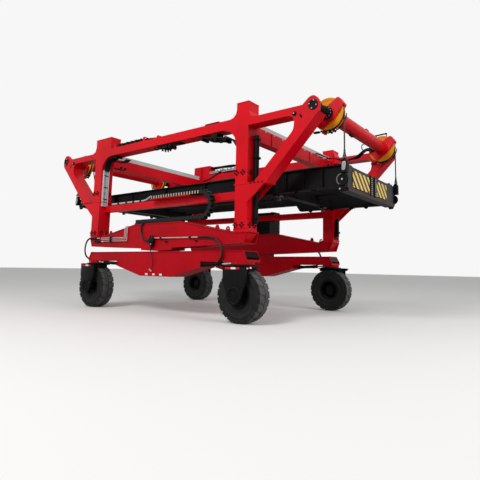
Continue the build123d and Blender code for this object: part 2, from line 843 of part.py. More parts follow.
def sill_slope_z(x):
    fall = (sill_top - sill_end_top) / (sill_slope_x - sill_flat_x)
    return sill_top - (x - sill_flat_x) * fall


def lifting_eyes():
    # Lugs on the sill's slopes: the outer one of each pair is bored for a shackle pin
    y0, y1 = -frame_outer + eye_inset - eye_plate / 2, -frame_outer + eye_inset + eye_plate / 2
    solids = []
    for setback, rise in eye_places:
        x = leg_in - setback
        z = sill_slope_z(x) + rise
        foot = [(x + s, sill_slope_z(x + s)) for s in (-eye_foot, eye_foot)]
        eye = plate(foot + [(x + eye_half, z), (x + eye_half / 2, z + eye_half),
                            (x - eye_half / 2, z + eye_half), (x - eye_half, z)], y0, y1)
        if setback == eye_places[-1][0]:
            eye -= bar_y(x, z, eye_bore, y0 - 1, y1 + 1)
        solids += front_and_rear(eye)
    return solids


def build():
    os.makedirs("parts", exist_ok=True)
    rear_leg = mirror(leg(rear_head_length, beam_in, leg_stub), MIRROR_X)
    sides = {
        "upper_beam": [upper_beam()],
        "arms": front_and_rear(arm()), "struts": front_and_rear(strut()),
        "lower_legs": front_and_rear(lower_leg()), "mid_rail": [mid_rail()],
        "lifting_lugs": lifting_eyes(),
    }
    for name, shapes in sides.items():
        save("near_" + name, shapes)
        save("far_" + name, to_far(shapes))
    save("near_legs", [leg(leg_length, near_in, leg_stub), rear_leg])
    save("far_legs", to_far([leg(leg_length, near_in, far_front_stub), rear_leg]))
    save("near_sill", [sill() + saddle() + tongue()])
    save("far_sill", to_far([sill()]))
    save("near_rocker", [swinging_rocker()])
    save("far_rocker", to_far([rocker()]))
    save("far_rocker_blocks", to_far(packing_blocks()))
    corner_names = ("near_front", "near_rear", "far_front", "far_rear")
    for piece, shape in (("fork", fork()), ("tyre", tyre()), ("rim", rim())):
        for corner, solid in zip(corner_names, all_corners(shape)):
            save(f"{corner}_{piece}", [solid])
    save("cross_beams", front_and_rear(cross_beam()))
    save("cable_trunks", front_and_rear(cable_trunk()))
    save("front_cross_tube", [cross_tube()])
    save("rear_cross_tube", [mirror(cross_tube(), MIRROR_X)])
    save("hoist_motors", [s for m in hoist_motor() for s in all_corners(m)])
    drums = [drum(), mirror(drum(), MIRROR_Y)]
    save("front_drums", drums)
    save("rear_drums", [mirror(s, MIRROR_X) for s in drums])
    save("hoist_ropes", all_corners(rope()))
    save("spreader_side_beams", [spreader_side(), mirror(spreader_side(), MIRROR_Y)])
    rear_end = mirror(spreader_end(spreader_rear, rear_flange_drop), MIRROR_X)
    save("spreader_end_beams", [spreader_end(spreader_bottom, end_flange_drop), rear_end])
    posts = [spreader_corner(spreader_bottom), mirror(spreader_corner(spreader_rear), MIRROR_X)]
    save("spreader_corners", posts + to_far(posts))
    save("rope_sockets", all_corners(rope_socket()))
    save("spreader_lock_beams", front_and_rear(lock_beam()))
    save("spreader_girders", [spreader_girder(), mirror(spreader_girder(), MIRROR_Y)])
    save("twistlocks", all_corners(twistlock()))
    save("leg_rails", leg_guides() + to_far(leg_guides()))
    save("energy_chain", [energy_chain()])
    save("chain_trough", [chain_trough()])
    save("chain_tray", [chain_tray()])
    save("engine_housing", [power_pack()])


build()
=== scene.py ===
import math

import bmesh
import bpy
from mathutils import Matrix, Vector


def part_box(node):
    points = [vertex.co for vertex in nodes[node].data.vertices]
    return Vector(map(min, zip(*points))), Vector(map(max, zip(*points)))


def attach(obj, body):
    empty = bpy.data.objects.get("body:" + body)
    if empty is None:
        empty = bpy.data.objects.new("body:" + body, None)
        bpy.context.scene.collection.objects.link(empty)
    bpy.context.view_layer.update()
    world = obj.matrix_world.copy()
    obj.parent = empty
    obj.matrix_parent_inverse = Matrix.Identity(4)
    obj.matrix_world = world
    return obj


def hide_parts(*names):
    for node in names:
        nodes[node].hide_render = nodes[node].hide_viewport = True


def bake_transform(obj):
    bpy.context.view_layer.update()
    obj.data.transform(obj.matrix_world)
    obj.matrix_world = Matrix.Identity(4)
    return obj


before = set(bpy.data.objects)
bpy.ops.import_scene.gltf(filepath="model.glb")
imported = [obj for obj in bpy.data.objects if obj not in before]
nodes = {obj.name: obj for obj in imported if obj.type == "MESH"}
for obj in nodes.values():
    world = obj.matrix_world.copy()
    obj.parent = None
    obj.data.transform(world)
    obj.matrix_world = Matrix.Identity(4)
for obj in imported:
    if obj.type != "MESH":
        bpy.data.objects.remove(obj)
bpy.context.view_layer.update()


# Tyres. Wide yard tyres of black rubber, moulded in one piece with two staggered rows of deep lugs
# that wrap over the shoulders, and seated on the rims by their beads. Pale dust lies in the tread.
class Value:
    """A value in a finish's node tree. Arithmetic on it adds Math nodes."""

    def __init__(self, finish, socket):
        self.finish = finish
        self.socket = socket

    def maths(self, operation, first, second):
        return self.finish.node("Math", {"operation": operation}, {0: first, 1: second})

    def __add__(self, other):
        return self.maths("ADD", self, other)

    def __radd__(self, other):
        return self.maths("ADD", other, self)

    def __sub__(self, other):
        return self.maths("SUBTRACT", self, other)

    def __rsub__(self, other):
        return self.maths("SUBTRACT", other, self)

    def __mul__(self, other):
        return self.maths("MULTIPLY", self, other)

    def __rmul__(self, other):
        return self.maths("MULTIPLY", other, self)


class Finish:
    """The node tree of one surface finish, read from the piece's own coordinates."""

    def __init__(self, name):
        self.material = bpy.data.materials.new(name)
        self.material.use_nodes = True
        self.tree = self.material.node_tree
        self.surface = self.tree.nodes["Principled BSDF"]
        self.place = self.node("TexCoord", {}, {}, "Object")

    def node(self, kind, settings, inputs, output=0):
        node = self.tree.nodes.new("ShaderNode" + kind)
        for key, value in settings.items():
            setattr(node, key, value)
        for key, value in inputs.items():
            self.feed(node.inputs[key], value)
        return Value(self, node.outputs[output])

    def feed(self, socket, value):
        if isinstance(value, Value):
            self.tree.links.new(value.socket, socket)
        else:
            socket.default_value = value

    def give(self, **sockets):
        for name, value in sockets.items():
            self.feed(self.surface.inputs[name.replace("_", " ")], value)

    def noise(self, scale, detail=3.0, stretch=(1.0, 1.0, 1.0)):
        place = self.node("Mapping", {}, {"Vector": self.place, "Scale": stretch})
        return self.node("TexNoise", {}, {"Vector": place, "Scale": scale, "Detail": detail})

    def between(self, value, low, high):
        # 0 below low, 1 above high and a smooth rise between them
        return self.node("MapRange", {"interpolation_type": "SMOOTHSTEP"},
                         {"Value": value, "From Min": low, "From Max": high})

    def over(self, under, cover, amount):
        return self.node("Mix", {"data_type": "RGBA"}, {0: amount, 6: under, 7: cover}, 2)

    def relief(self, height, strength, distance):
        return self.node("Bump", {}, {"Strength": strength, "Distance": distance, "Height": height})


DUST = (0.30, 0.27, 0.23, 1)
TREAD_DUST = (0.30, 0.295, 0.285, 1)


def facing_up(finish):
    # 1 on top faces and 0 on upright ones
    normal = finish.node("NewGeometry", {}, {}, "Normal")
    return finish.between(finish.node("SeparateXYZ", {}, {0: normal}, "Z"), 0.45, 0.95)


def rubber(name, colour, dusty):
    # Black rubber with fine grit, and dust where the surface faces away from the axle
    finish = Finish(name)
    finish.surface.inputs["Specular IOR Level"].default_value = 0.3
    cloud = finish.noise(5.0, 5.0)
    grit = finish.noise(95.0, 4.0)
    turned_to = finish.node("TexCoord", {}, {}, "Normal")
    sideways = finish.node("SeparateXYZ", {}, {0: turned_to}, "Y")
    tread = 1 - finish.between(finish.node("Math", {"operation": "ABSOLUTE"}, {0: sideways}), 0.25, 0.60)
    dust = finish.between(cloud, 0.42, 0.72) * dusty * 0.12 + finish.between(grit, 0.55, 0.8) * dusty * 0.08
    dust = dust + tread * dusty * (0.4 + cloud)
    finish.give(Base_Color=finish.over(colour, TREAD_DUST, dust), Roughness=0.62 + cloud * 0.3,
                Normal=finish.relief(grit + cloud * 0.4, 0.35, 0.004))
    return finish.material


tyre_rubber = rubber("tyre_rubber", (0.0042, 0.0042, 0.0050, 1), 0.26)

corners = ("near_front", "near_rear", "far_front", "far_rear")
tyre_low, tyre_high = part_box("near_front_tyre")
tyre_half = (tyre_high[1] - tyre_low[1]) / 2
rim_seat = 0.262
lugs_a_side = 20
lug_width = 0.138
lug_skew = 0.050
lug_flare, lug_taper = 1.08, 0.12
lug_base, lug_rise = 0.512, 0.08


def middle(node):
    # The centre of a solid's box
    low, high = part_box(node)
    return (Vector(low) + Vector(high)) / 2


def turned(bm, profile, centre, axis=(0, 1, 0), steps=64, closed=True):
    # A turned form: (radius, distance along the axis) points spun round the axis through the centre
    axis, centre = Vector(axis).normalized(), Vector(centre)
    out = axis.orthogonal().normalized()
    verts = [bm.verts.new(centre + out * r + axis * along) for r, along in profile]
    pairs = list(zip(verts, verts[1:])) + ([(verts[-1], verts[0])] if closed else [])
    edges = [bm.edges.new(pair) for pair in pairs]
    bmesh.ops.spin(bm, geom=verts + edges, cent=centre, axis=axis, angle=2 * math.pi, steps=steps,
                   use_merge=True)
    bmesh.ops.remove_doubles(bm, verts=bm.verts, dist=1e-6)


def slab(bm, outline, thickness, place, chamfer=0.0):
    # A flat plate: an outline of (x, y) points given its thickness both ways, then set in place
    half = Vector((0, 0, thickness / 2))
    face = bm.faces.new([bm.verts.new(Vector((x, y, 0)) - half) for x, y in outline])
    top = bmesh.ops.extrude_face_region(bm, geom=[face])["geom"]
    verts = [v for v in top if isinstance(v, bmesh.types.BMVert)]
    bmesh.ops.translate(bm, verts=verts, vec=2 * half)
    verts += list(face.verts)
    if chamfer:
        edges = list({e for v in verts for e in v.link_edges})
        eased = bmesh.ops.bevel(bm, geom=edges, offset=chamfer, segments=2, profile=0.5, affect="EDGES",
                                material=-1)
        verts = list({v for f in eased["faces"] for v in f.verts} | {v for v in verts if v.is_valid})
    bmesh.ops.transform(bm, matrix=place, verts=verts)
    return verts


def piece(name, bm, finish, body, stands_for=(), sharp=35):
    # A finished piece from its mesh, riding on its body
    bmesh.ops.recalc_face_normals(bm, faces=bm.faces)
    mesh = bpy.data.meshes.new(name)
    bm.to_mesh(mesh)
    bm.free()
    mesh.materials.append(finish)
    mesh.shade_smooth()
    mesh.set_sharp_from_angle(angle=math.radians(sharp))
    made = bpy.data.objects.new(name, mesh)
    bpy.context.scene.collection.objects.link(made)
    if body:
        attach(made, body)
    if stands_for:
        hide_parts(*stands_for)
    return made


sidewall = [(rim_seat + 0.0005, 0.120), (rim_seat + 0.004, 0.148), (0.288, 0.165), (0.300, 0.171),
            (0.306, 0.176), (0.326, 0.180), (0.330, 0.184), (0.336, 0.184), (0.340, 0.1815), (0.390, 0.1835),
            (0.455, 0.1840), (0.459, 0.1868), (0.466, 0.1868), (0.470, 0.1840), (0.505, 0.1815),
            (0.540, 0.172), (0.562, 0.156), (0.571, 0.090)]
lug_side = [(0.1862, 0.520), (0.1868, 0.560), (0.178, 0.580), (0.156, 0.588), (0.008, 0.5893),
            (0.004, 0.560), (0.150, 0.550), (0.168, 0.512)]

for corner in corners:
    hub = middle(corner + "_tyre")
    bm = bmesh.new()
    turned(bm, [(r, -y) for r, y in sidewall] + [(r, y) for r, y in reversed(sidewall)], hub, steps=96)
    for side in (-1, 1):
        upright = Matrix(((0, 0, 1, 0), (side, 0, 0, 0), (0, 1, 0, 0), (0, 0, 0, 1)))
        for k in range(lugs_a_side):
            lug = slab(bm, lug_side, lug_width, upright, chamfer=0.005)
            for v in lug:
                inward = 1 - abs(v.co.y) / tyre_half
                spread = lug_flare - lug_taper * (v.co.z - lug_base) / lug_rise
                v.co.x = v.co.x * spread + lug_skew * inward
                v.co.z = math.sqrt(v.co.z ** 2 - v.co.x ** 2)
            turn = (k + (0.25 if side < 0 else 0.75)) * 2 * math.pi / lugs_a_side
            bmesh.ops.transform(bm, matrix=Matrix.Translation(hub) @ Matrix.Rotation(turn, 4, "Y"), verts=lug)
    piece(corner + "_lugged_tyre", bm, tyre_rubber, corner + "_wheel", [corner + "_tyre"])


# Rims. Three piece steel rims in black paint: a barrel with two turned lips and a thick disc near
# the outer side, held to the hub by a ring of wheel nuts on studs.
CHIPPED = (0.075, 0.048, 0.035, 1)


def painted(name, colour, shade, roughness, dusty, worn, gloss=0.04, shine=0.05):
    # Enamel on steel: slow fading, faint runs, dust on top faces and chips along the edges
    finish = Finish(name)
    slow = finish.noise(0.8, 4.0)
    runs = finish.noise(1.0, 5.0, stretch=(11.0, 11.0, 0.8))
    specks = finish.noise(55.0, 5.0)
    normal = finish.node("NewGeometry", {}, {}, "Normal")
    eased = finish.node("Bevel", {"samples": 4}, {"Radius": 0.010})
    flat = finish.node("VectorMath", {"operation": "DOT_PRODUCT"}, {0: normal, 1: eased}, "Value")
    edge = finish.between(1 - flat, 0.02, 0.25) * finish.between(specks, 0.50, 0.62) * worn
    fleck = finish.between(specks * slow, 0.46, 0.52) * worn * 0.6
    body = finish.over(colour, shade, finish.between(slow, 0.35, 0.72))
    body = finish.over(body, shade, finish.between(runs, 0.50, 0.78) * 0.55)
    body = finish.over(body, DUST, facing_up(finish) * dusty * (0.35 + slow))
    finish.give(Base_Color=finish.over(body, CHIPPED, edge + fleck),
                Roughness=roughness + finish.between(runs, 0.4, 0.8) * 0.14 + edge * 0.3,
                Coat_Weight=gloss * (1 - finish.between(slow, 0.5, 0.9) * 0.6),
                Normal=finish.relief(slow + specks * 0.02, 0.12, 0.02))
    finish.surface.inputs["Coat Roughness"].default_value = 0.12
    finish.surface.inputs["Specular IOR Level"].default_value = shine
    return finish.material


black_enamel = painted("black_enamel", (0.0038, 0.0038, 0.0046, 1), (0.0085, 0.0085, 0.0090, 1), 0.38, 0.07,
                       0.30)

nut_count = 10
nut_circle = 0.178
disc_face = 0.104


def bolt(bm, foot, axis, across, height, washer=True):
    # A hexagon bolt head on its washer, standing on a surface
    foot, axis = Vector(foot), Vector(axis).normalized()
    turn = axis.to_track_quat("Z", "Y").to_matrix().to_4x4()
    stack = [(across * 0.82, height * 0.25, 16)] if washer else []
    stack.append((across / 2 / math.cos(math.pi / 6), height, 6))
    for radius, depth, sides in stack:
        bmesh.ops.create_cone(bm, cap_ends=True, segments=sides, radius1=radius, radius2=radius, depth=depth,
                              matrix=Matrix.Translation(foot + axis * depth / 2) @ turn)


def around(centre, axis, radius, count, start=0.0):
    # Places on a circle round an axis
    centre, axis = Vector(centre), Vector(axis).normalized()
    out = axis.orthogonal().normalized() * radius
    return [centre + Matrix.Rotation(start + 2 * math.pi * k / count, 3, axis) @ out for k in range(count)]


rim_outline = [(0.1194, -0.047), (0.150, -0.047), (0.162, 0.058), (0.200, 0.080), (0.236, 0.080),
               (0.237, -0.163), (0.282, -0.166), (0.2835, -0.160), (0.2617, -0.146), (0.2617, 0.146),
               (0.2835, 0.160), (0.282, 0.166), (0.242, 0.163), (0.236, 0.112), (0.205, 0.104),
               (0.150, 0.104), (0.146, 0.111), (0.1194, 0.111)]

for corner in corners:
    hub = middle(corner + "_tyre")
    outward = Vector((0, math.copysign(1, hub.y), 0))
    bm = bmesh.new()
    turned(bm, rim_outline, hub, outward)
    for nut in around(hub + outward * disc_face, outward, nut_circle, nut_count):
        bolt(bm, nut, outward, 0.032, 0.024)
    piece(corner + "_nutted_rim", bm, black_enamel, corner + "_wheel", [corner + "_rim"])


# Half forks. Welded black plate: a hood over the tyre hangs from the slewing ring, and one outer
# cheek comes down beside the tyre to the hub. Skirts close the hood, and red and white reflective
# strips are stuck to it and to the bracket at its end.
def block(bm, low, high, chamfer=0.0):
    # A plate or bar between two corners
    low, high = Vector(low), Vector(high)
    size = high - low
    place = Matrix.Translation((low + high) / 2) @ Matrix.Diagonal((abs(size.x), abs(size.y), abs(size.z), 1))
    verts = bmesh.ops.create_cube(bm, size=1.0, matrix=place)["verts"]
    if chamfer:
        edges = list({e for v in verts for e in v.link_edges})
        bmesh.ops.bevel(bm, geom=edges, offset=chamfer, segments=2, profile=0.5, affect="EDGES", material=-1)


def rod(bm, start, end, radius, sides=24, end_radius=None):
    # A round bar between two points
    start, end = Vector(start), Vector(end)
    along = end - start
    place = Matrix.Translation((start + end) / 2) @ along.to_track_quat("Z", "Y").to_matrix().to_4x4()
    bmesh.ops.create_cone(bm, cap_ends=True, segments=sides, radius1=radius,
                          radius2=radius if end_radius is None else end_radius, depth=along.length,
                          matrix=place)


def facing_y(y):
    # Sets a plate drawn in X and Z upright at this y
    return Matrix(((1, 0, 0, 0), (0, 0, 1, y), (0, 1, 0, 0), (0, 0, 0, 1)))


def enamel(name, colour, roughness=0.4):
    # A plain small part in one colour with faint mottling
    finish = Finish(name)
    mottle = finish.noise(14.0, 4.0)
    dark = tuple(c * 0.72 for c in colour[:3]) + (1,)
    finish.give(Base_Color=finish.over(colour, dark, finish.between(mottle, 0.4, 0.75)),
                Roughness=roughness + mottle * 0.15, Normal=finish.relief(mottle, 0.15, 0.003))
    finish.surface.inputs["Specular IOR Level"].default_value = 0.2
    return finish.material


white_reflector = enamel("white_reflector", (0.82, 0.82, 0.80, 1), 0.25)
red_reflector = enamel("red_reflector", (0.62, 0.012, 0.016, 1), 0.25)

hood_half = 0.318
hood_top = 1.225
hood_deck = 0.030
skirt_bottom = 1.130
cheek_face = 2.450
cheek_plate = 0.040
cheek_shoulder = 0.900
cheek_foot = 0.190
hood_inner = 1.930
ring_table = 1.252
pintle_top = 1.307
hub_face = 2.471
skirt_plate = 0.018
spindle_radius, spindle_end = 0.1178, 2.0265
ring_radius, pintle_radius = 0.2495, 0.175
ring_bolt_circle, ring_bolt_count = 0.282, 18
hub_bolt_circle, hub_bolt_count = 0.100, 8


def fork(bm, hub, out):
    # out is -1 on the near side and 1 on the far side
    x0, x1, z = hub.x - hood_half, hub.x + hood_half, hub.z
    outer, inner = out * cheek_face, out * hood_inner
    block(bm, (x0, outer, hood_top - hood_deck), (x1, inner, hood_top), 0.004)
    for x in (x0, x1 - skirt_plate):
        block(bm, (x, outer, skirt_bottom), (x + skirt_plate, out * (hood_inner + 0.09), hood_top - 0.01),
              0.003)
    foot = [(hub.x + cheek_foot * math.cos(a), z - cheek_foot * math.sin(a))
            for a in (math.pi * k / 16 for k in range(17))]
    cheek = [(x0, hood_top - 0.004), (x1, hood_top - 0.004), (x1, cheek_shoulder)] + foot
    cheek.append((x0, cheek_shoulder))
    slab(bm, cheek, cheek_plate, facing_y(out * (cheek_face - cheek_plate / 2)), 0.003)
    for x in (x0 + 0.06, x1 - 0.06):
        slab(bm, [(x - 0.012, hood_top - 0.02), (x + 0.012, hood_top - 0.02), (x + 0.012, 1.19),
                  (x - 0.012, 1.19)],
             0.50, facing_y(out * 2.19))
    axle = (0, out, 0)
    middle_face = Vector((hub.x, 0, z))
    turned(bm, [(0.1895, out * (cheek_face - 0.001)), (0.1895, out * (hub_face - 0.008)),
                (0.182, out * hub_face), (0.150, out * hub_face), (0.142, out * (hub_face - 0.012)),
                (0.138, out * (cheek_face + 0.002)), (0.060, out * (cheek_face + 0.004)),
                (0.055, out * (cheek_face + 0.014)), (0.0, out * (cheek_face + 0.014))],
           middle_face, (0, 1, 0), 48, closed=False)
    for place in around(middle_face + Vector((0, out * (cheek_face + 0.003), 0)), axle, hub_bolt_circle,
                        hub_bolt_count):
        bolt(bm, place, axle, 0.022, 0.012)
    rod(bm, (hub.x, out * (cheek_face - 0.03), z), (hub.x, out * spindle_end, z), spindle_radius, 48)
    rod(bm, (hub.x, hub.y, hood_top - 0.002), (hub.x, hub.y, ring_table), ring_radius, 64)
    rod(bm, (hub.x, hub.y, ring_table - 0.002), (hub.x, hub.y, pintle_top), pintle_radius, 64)
    for place in around((hub.x, hub.y, hood_top), (0, 0, 1), ring_bolt_circle, ring_bolt_count):
        bolt(bm, place, (0, 0, 1), 0.024, 0.016)


strip_low, strip_high = 1.150, 1.192
sticker = 0.003
bracket_y, bracket_wide = 2.300, 0.150
bracket = [(0.300, 1.222), (0.430, 1.222), (0.450, 1.205), (0.400, 1.150), (0.318, 1.140)]
for corner in corners:
    hub = middle(corner + "_tyre")
    out = math.copysign(1, hub.y)
    bm = bmesh.new()
    fork(bm, hub, out)
    end = math.copysign(1, hub.x)
    slab(bm, [(hub.x + end * x, z) for x, z in bracket], bracket_wide, facing_y(out * bracket_y), 0.004)
    for name, a, b, finish in (("red", 0.328, 0.368, red_reflector),
                               ("white", 0.368, 0.406, white_reflector)):
        strip = bmesh.new()
        bracket_face = bracket_y + bracket_wide / 2
        block(strip, (hub.x + end * a, out * bracket_face, 1.166),
              (hub.x + end * b, out * (bracket_face + sticker), 1.202))
        piece(f"{corner}_bracket_reflector_{name}", strip, finish, corner + "_steering")
    piece(corner + "_half_fork", bm, black_enamel, corner + "_steering", [corner + "_fork"])
    for name, finish, spans in (("red", red_reflector, ((-0.25, -0.09), (0.04, 0.14))),
                                ("white", white_reflector, ((-0.09, 0.04),))):
        bm = bmesh.new()
        for a, b in spans:
            block(bm, (hub.x + a, out * cheek_face, strip_low),
                  (hub.x + b, out * (cheek_face + sticker), strip_high))
        ends = ((0.30, 0.42),) if name == "red" else ((0.42, 0.50),)
        for a, b in ends:
            x = hub.x + end * hood_half
            block(bm, (x, out * (hood_inner + a), strip_low + 0.006),
                  (x + end * sticker, out * (hood_inner + b), strip_high - 0.006))
        piece(f"{corner}_{name}_reflectors", bm, finish, corner + "_steering")


# Wheel beams. Red plate girders over each pair of wheels: flanges all round, webs set between them,
# and a dark plate in each slanted end that is painted shade for the pocket behind it. The near one
# swings on a pin under its sill. Steering cylinders lie under the ends.
signal_red = painted("signal_red", (0.64, 0.0012, 0.0090, 1), (0.52, 0.0008, 0.0070, 1), 0.36, 0.04, 0.12,
                     0.06, 0.10)
# A darker copy of signal_red: painted shade for the wheel beams, sills and lifting lugs low on the machine.
red_in_painted_shade = painted("red_in_painted_shade", (0.46, 0.0006, 0.0078, 1), (0.38, 0.0005, 0.0060, 1), 0.38, 0.03, 0.15,
                     0.04, 0.08)


def dress(finish, *names):
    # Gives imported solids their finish
    for name in names:
        for slot in nodes[name].material_slots:
            slot.material = finish


def line(bm, points, radius, sides=8):
    # A hose or a bent pipe through given points
    curve = bpy.data.curves.new("line", "CURVE")
    curve.dimensions = "3D"
    curve.bevel_depth = radius
    curve.bevel_resolution = max(0, sides // 4 - 1)
    curve.use_fill_caps = True
    spline = curve.splines.new("NURBS")
    spline.points.add(len(points) - 1)
    for knot, place in zip(spline.points, points):
        knot.co = (*place, 1.0)
    spline.order_u = 3
    spline.use_endpoint_u = True
    spline.resolution_u = 5
    holder = bpy.data.objects.new("line", curve)
    bpy.context.scene.collection.objects.link(holder)
    mesh = bpy.data.meshes.new_from_object(holder)
    bm.from_mesh(mesh)
    bpy.data.objects.remove(holder)
    bpy.data.meshes.remove(mesh)
    bpy.data.curves.remove(curve)


def bolts(bm, places, axis, across=0.03, height=0.02):
    # The same bolt at each of the places
    for place in places:
        bolt(bm, place, axis, across, height)


def row(start, end, count):
    # Evenly spaced places on a line
    start, end = Vector(start), Vector(end)
    return [start.lerp(end, k / (count - 1)) for k in range(count)]


dress(red_in_painted_shade, "near_rocker", "far_rocker", "far_rocker_blocks")
hose_rubber = enamel("hose_rubber", (0.007, 0.007, 0.0075, 1), 0.42)
zinc = enamel("zinc_plate", (0.48, 0.48, 0.47, 1), 0.35)
chrome = enamel("chrome_rod", (0.70, 0.70, 0.70, 1), 0.12)
wheel_beams = {"near": "near_wheel_beam", "far": "frame"}
face = {"near": -2.295, "far": 2.295}
out_of = {"near": -1.0, "far": 1.0}
cylinder_x, cylinder_reach = (1.560, 2.170), 2.440
cylinder_z = (1.238, 1.262, 1.283)
cylinder_set = 0.060

for side, body in wheel_beams.items():
    y, out = face[side], out_of[side]
    steel, rods, lamps = bmesh.new(), bmesh.new(), bmesh.new()
    lane = y - out * cylinder_set
    for end in (-1, 1):
        foot, neck = (end * cylinder_x[0], lane, cylinder_z[0]), (end * cylinder_x[1], lane, cylinder_z[1])
        rod(steel, foot, neck, 0.044, 28)
        for share in (0.02, 0.10, 0.80, 0.97):
            spot = Vector(foot).lerp(Vector(neck), share)
            rod(steel, spot - Vector((0.018, 0, 0)), spot + Vector((0.018, 0, 0)), 0.051, 28)
        block(steel, (end * 1.495, lane - 0.030, 1.205), (end * 1.560, lane + 0.030, 1.330), 0.006)
        rod(rods, (end * 1.528, lane - out * 0.040, 1.238), (end * 1.528, lane + out * 0.040, 1.238), 0.026,
            20)
        rod(rods, neck, (end * cylinder_reach, lane, cylinder_z[2]), 0.021, 20)
        rod(rods, (end * (cylinder_reach - 0.035), lane, cylinder_z[2] - 0.018),
            (end * (cylinder_reach - 0.035), lane, 1.309), 0.030, 20)
        # A dark plate just inside each slanted end pocket: painted shade standing for the shadow in the
        # pocket.
        slab(steel, [(end * 2.764, 1.557), (end * 2.873, 1.405), (end * 2.879, 1.409), (end * 2.770, 1.561)],
             0.494, facing_y(y - out * 0.260))
    for x in (-0.32, -0.05, 0.21):
        block(lamps, (x - 0.046, y - out * 0.0135, 0.948), (x + 0.046, y - out * 0.006, 0.998), 0.002)
    piece(f"{side}_steering_cylinders_and_pocket_shades", steel, black_enamel, body)
    piece(f"{side}_steering_rods", rods, chrome, body)
    piece(f"{side}_beam_reflectors", lamps, white_reflector, body)


# Sills. Red side girders under the legs, in a darker red that is painted shade for the lower parts.
# Steel pipes in clamps, a black valve block and hoses run on the outer face, and the legs stand on
# them on bolted feet. Three hoses loop down to the wheel beam.
dress(red_in_painted_shade, "near_sill", "far_sill", "near_lifting_lugs", "far_lifting_lugs")
# The pipes' pink tint is a painted reflection of the red girders beside them.
pipe_grey_red_reflection = enamel("pipe_grey_red_reflection", (0.56, 0.45, 0.43, 1), 0.35)
clamp_stand = 0.024

for side in ("near", "far"):
    y, out = face[side], out_of[side]
    pipes, black, hoses, red = bmesh.new(), bmesh.new(), bmesh.new(), bmesh.new()
    front = y + out * clamp_stand
    for z, rise_x in ((1.945, -1.255), (1.905, -1.205), (1.855, -1.150)):
        line(pipes, [(-2.30, front, z), (-1.9, front, z - 0.004), (-1.5, front, z - 0.008),
                     (rise_x - 0.04, front, z - 0.01), (rise_x, front, z - 0.01), (rise_x, front, z + 0.03),
                     (rise_x, front, 2.10), (rise_x, front, 2.215), (rise_x, front - out * 0.07, 2.245)],
             0.011)
    for x, z, reach in ((-2.62, 1.940, 0.22), (-2.40, 1.845, 0.20)):
        rod(black, (x - reach, front, z), (x + reach * 0.6, front, z + 0.004), 0.022, 18)
        for share in (-0.9, -0.35, 0.25):
            rod(black, (x + reach * share, front, z), (x + reach * (share + 0.18), front, z), 0.031, 6)
        rod(pipes, (x + reach * 0.6, front, z), (x + reach * 1.1, front, z), 0.018, 18)
    block(black, (-1.885, y, 1.815), (-1.795, y + out * 0.050, 1.985), 0.010)
    block(black, (-2.62, y, 1.900), (-2.50, y + out * 0.050, 1.985), 0.010)
    line(pipes, [(-0.06, front, 1.890), (0.5, front, 1.882), (1.0, front, 1.876), (1.50, front, 1.872)],
         0.014)
    for x in (0.20, 1.22):
        block(black, (x - 0.035, y, 1.845), (x + 0.035, y + out * 0.044, 1.905), 0.006)
        rod(black, (x + 0.20, y, 1.790), (x + 0.20, y + out * 0.050, 1.790), 0.018, 14)
        line(black, [(x + 0.20, y + out * 0.040, 1.795), (x + 0.15, y + out * 0.040, 1.810),
                     (x + 0.10, y + out * 0.035, 1.850)], 0.010)
    block(black, (-0.215, y, 1.770), (-0.030, y + out * 0.085, 1.905), 0.020)
    block(black, (-0.180, y, 1.680), (-0.060, y + out * 0.070, 1.775), 0.016)
    for x, z in ((-0.17, 1.925), (-0.08, 1.920), (-0.13, 1.655), (-0.08, 1.660)):
        rod(black, (x, y + out * 0.045, z - 0.03), (x, y + out * 0.045, z + 0.03), 0.019, 14)
    rod(pipes, (-0.10, y + out * 0.080, 1.735), (-0.10, y + out * 0.094, 1.735), 0.013, 12)
    loops, studs = bmesh.new(), bmesh.new()
    line(loops, [(1.48, front, 1.872), (1.66, front + out * 0.006, 1.872), (1.86, front + out * 0.01, 1.870),
                 (2.04, front + out * 0.015, 1.815), (2.19, front + out * 0.020, 1.68),
                 (2.25, front + out * 0.020, 1.53), (2.23, front + out * 0.015, 1.41),
                 (2.16, front + out * 0.010, 1.335), (2.09, front - out * 0.020, 1.290)], 0.025)
    line(hoses, [(-0.50, y + out * 0.015, 2.300), (-0.56, front, 2.250), (-0.58, front, 2.15),
                 (-0.56, front, 2.02), (-0.49, front + out * 0.01, 1.89), (-0.37, front + out * 0.01, 1.825),
                 (-0.22, front + out * 0.01, 1.820)], 0.022)
    line(loops, [(-0.17, front, 1.68), (-0.18, front, 1.60), (-0.13, front, 1.46), (-0.08, front, 1.36),
                 (-0.06, front, 1.26), (-0.08, front, 1.16), (-0.12, front, 1.085)], 0.009)
    line(loops, [(-2.86, front, 1.945), (-2.97, front, 1.90), (-3.03, front, 1.80), (-3.07, front, 1.66),
                 (-3.05, front, 1.54), (-2.98, front, 1.42), (-2.90, y - out * 0.05, 1.345)], 0.023)
    rod(studs, (-0.17, y + out * 0.002, 1.095), (-0.17, y + out * 0.026, 1.095), 0.020, 16)
    rod(studs, (-0.12, y + out * 0.002, 1.065), (-0.12, y + out * 0.030, 1.065), 0.022, 16)
    for end in (-1, 1):
        bolts(red, row((end * 2.53, y, 1.95), (end * 2.86, y, 1.95), 8), (0, out, 0),
              0.022, 0.012)
        slab(red, [(end * 2.66, 1.735), (end * 2.69, 1.735), (end * 2.86, 1.935), (end * 2.83, 1.935)], 0.35,
             facing_y(y - out * 0.2325))
    piece(side + "_sill_pipes", pipes, pipe_grey_red_reflection, "frame")
    piece(side + "_sill_valves", black, black_enamel, "frame")
    piece(side + "_sill_hoses", hoses, hose_rubber, "frame")
    piece(side + "_sill_bolts", red, signal_red, "frame")
    swings = side == "near"
    piece(side + "_hose_studs", studs, pipe_grey_red_reflection, "near_wheel_beam" if swings else "frame")
    made = piece(side + "_loop_hoses", loops, hose_rubber, None if swings else "frame")
    if swings:
        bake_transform(made)


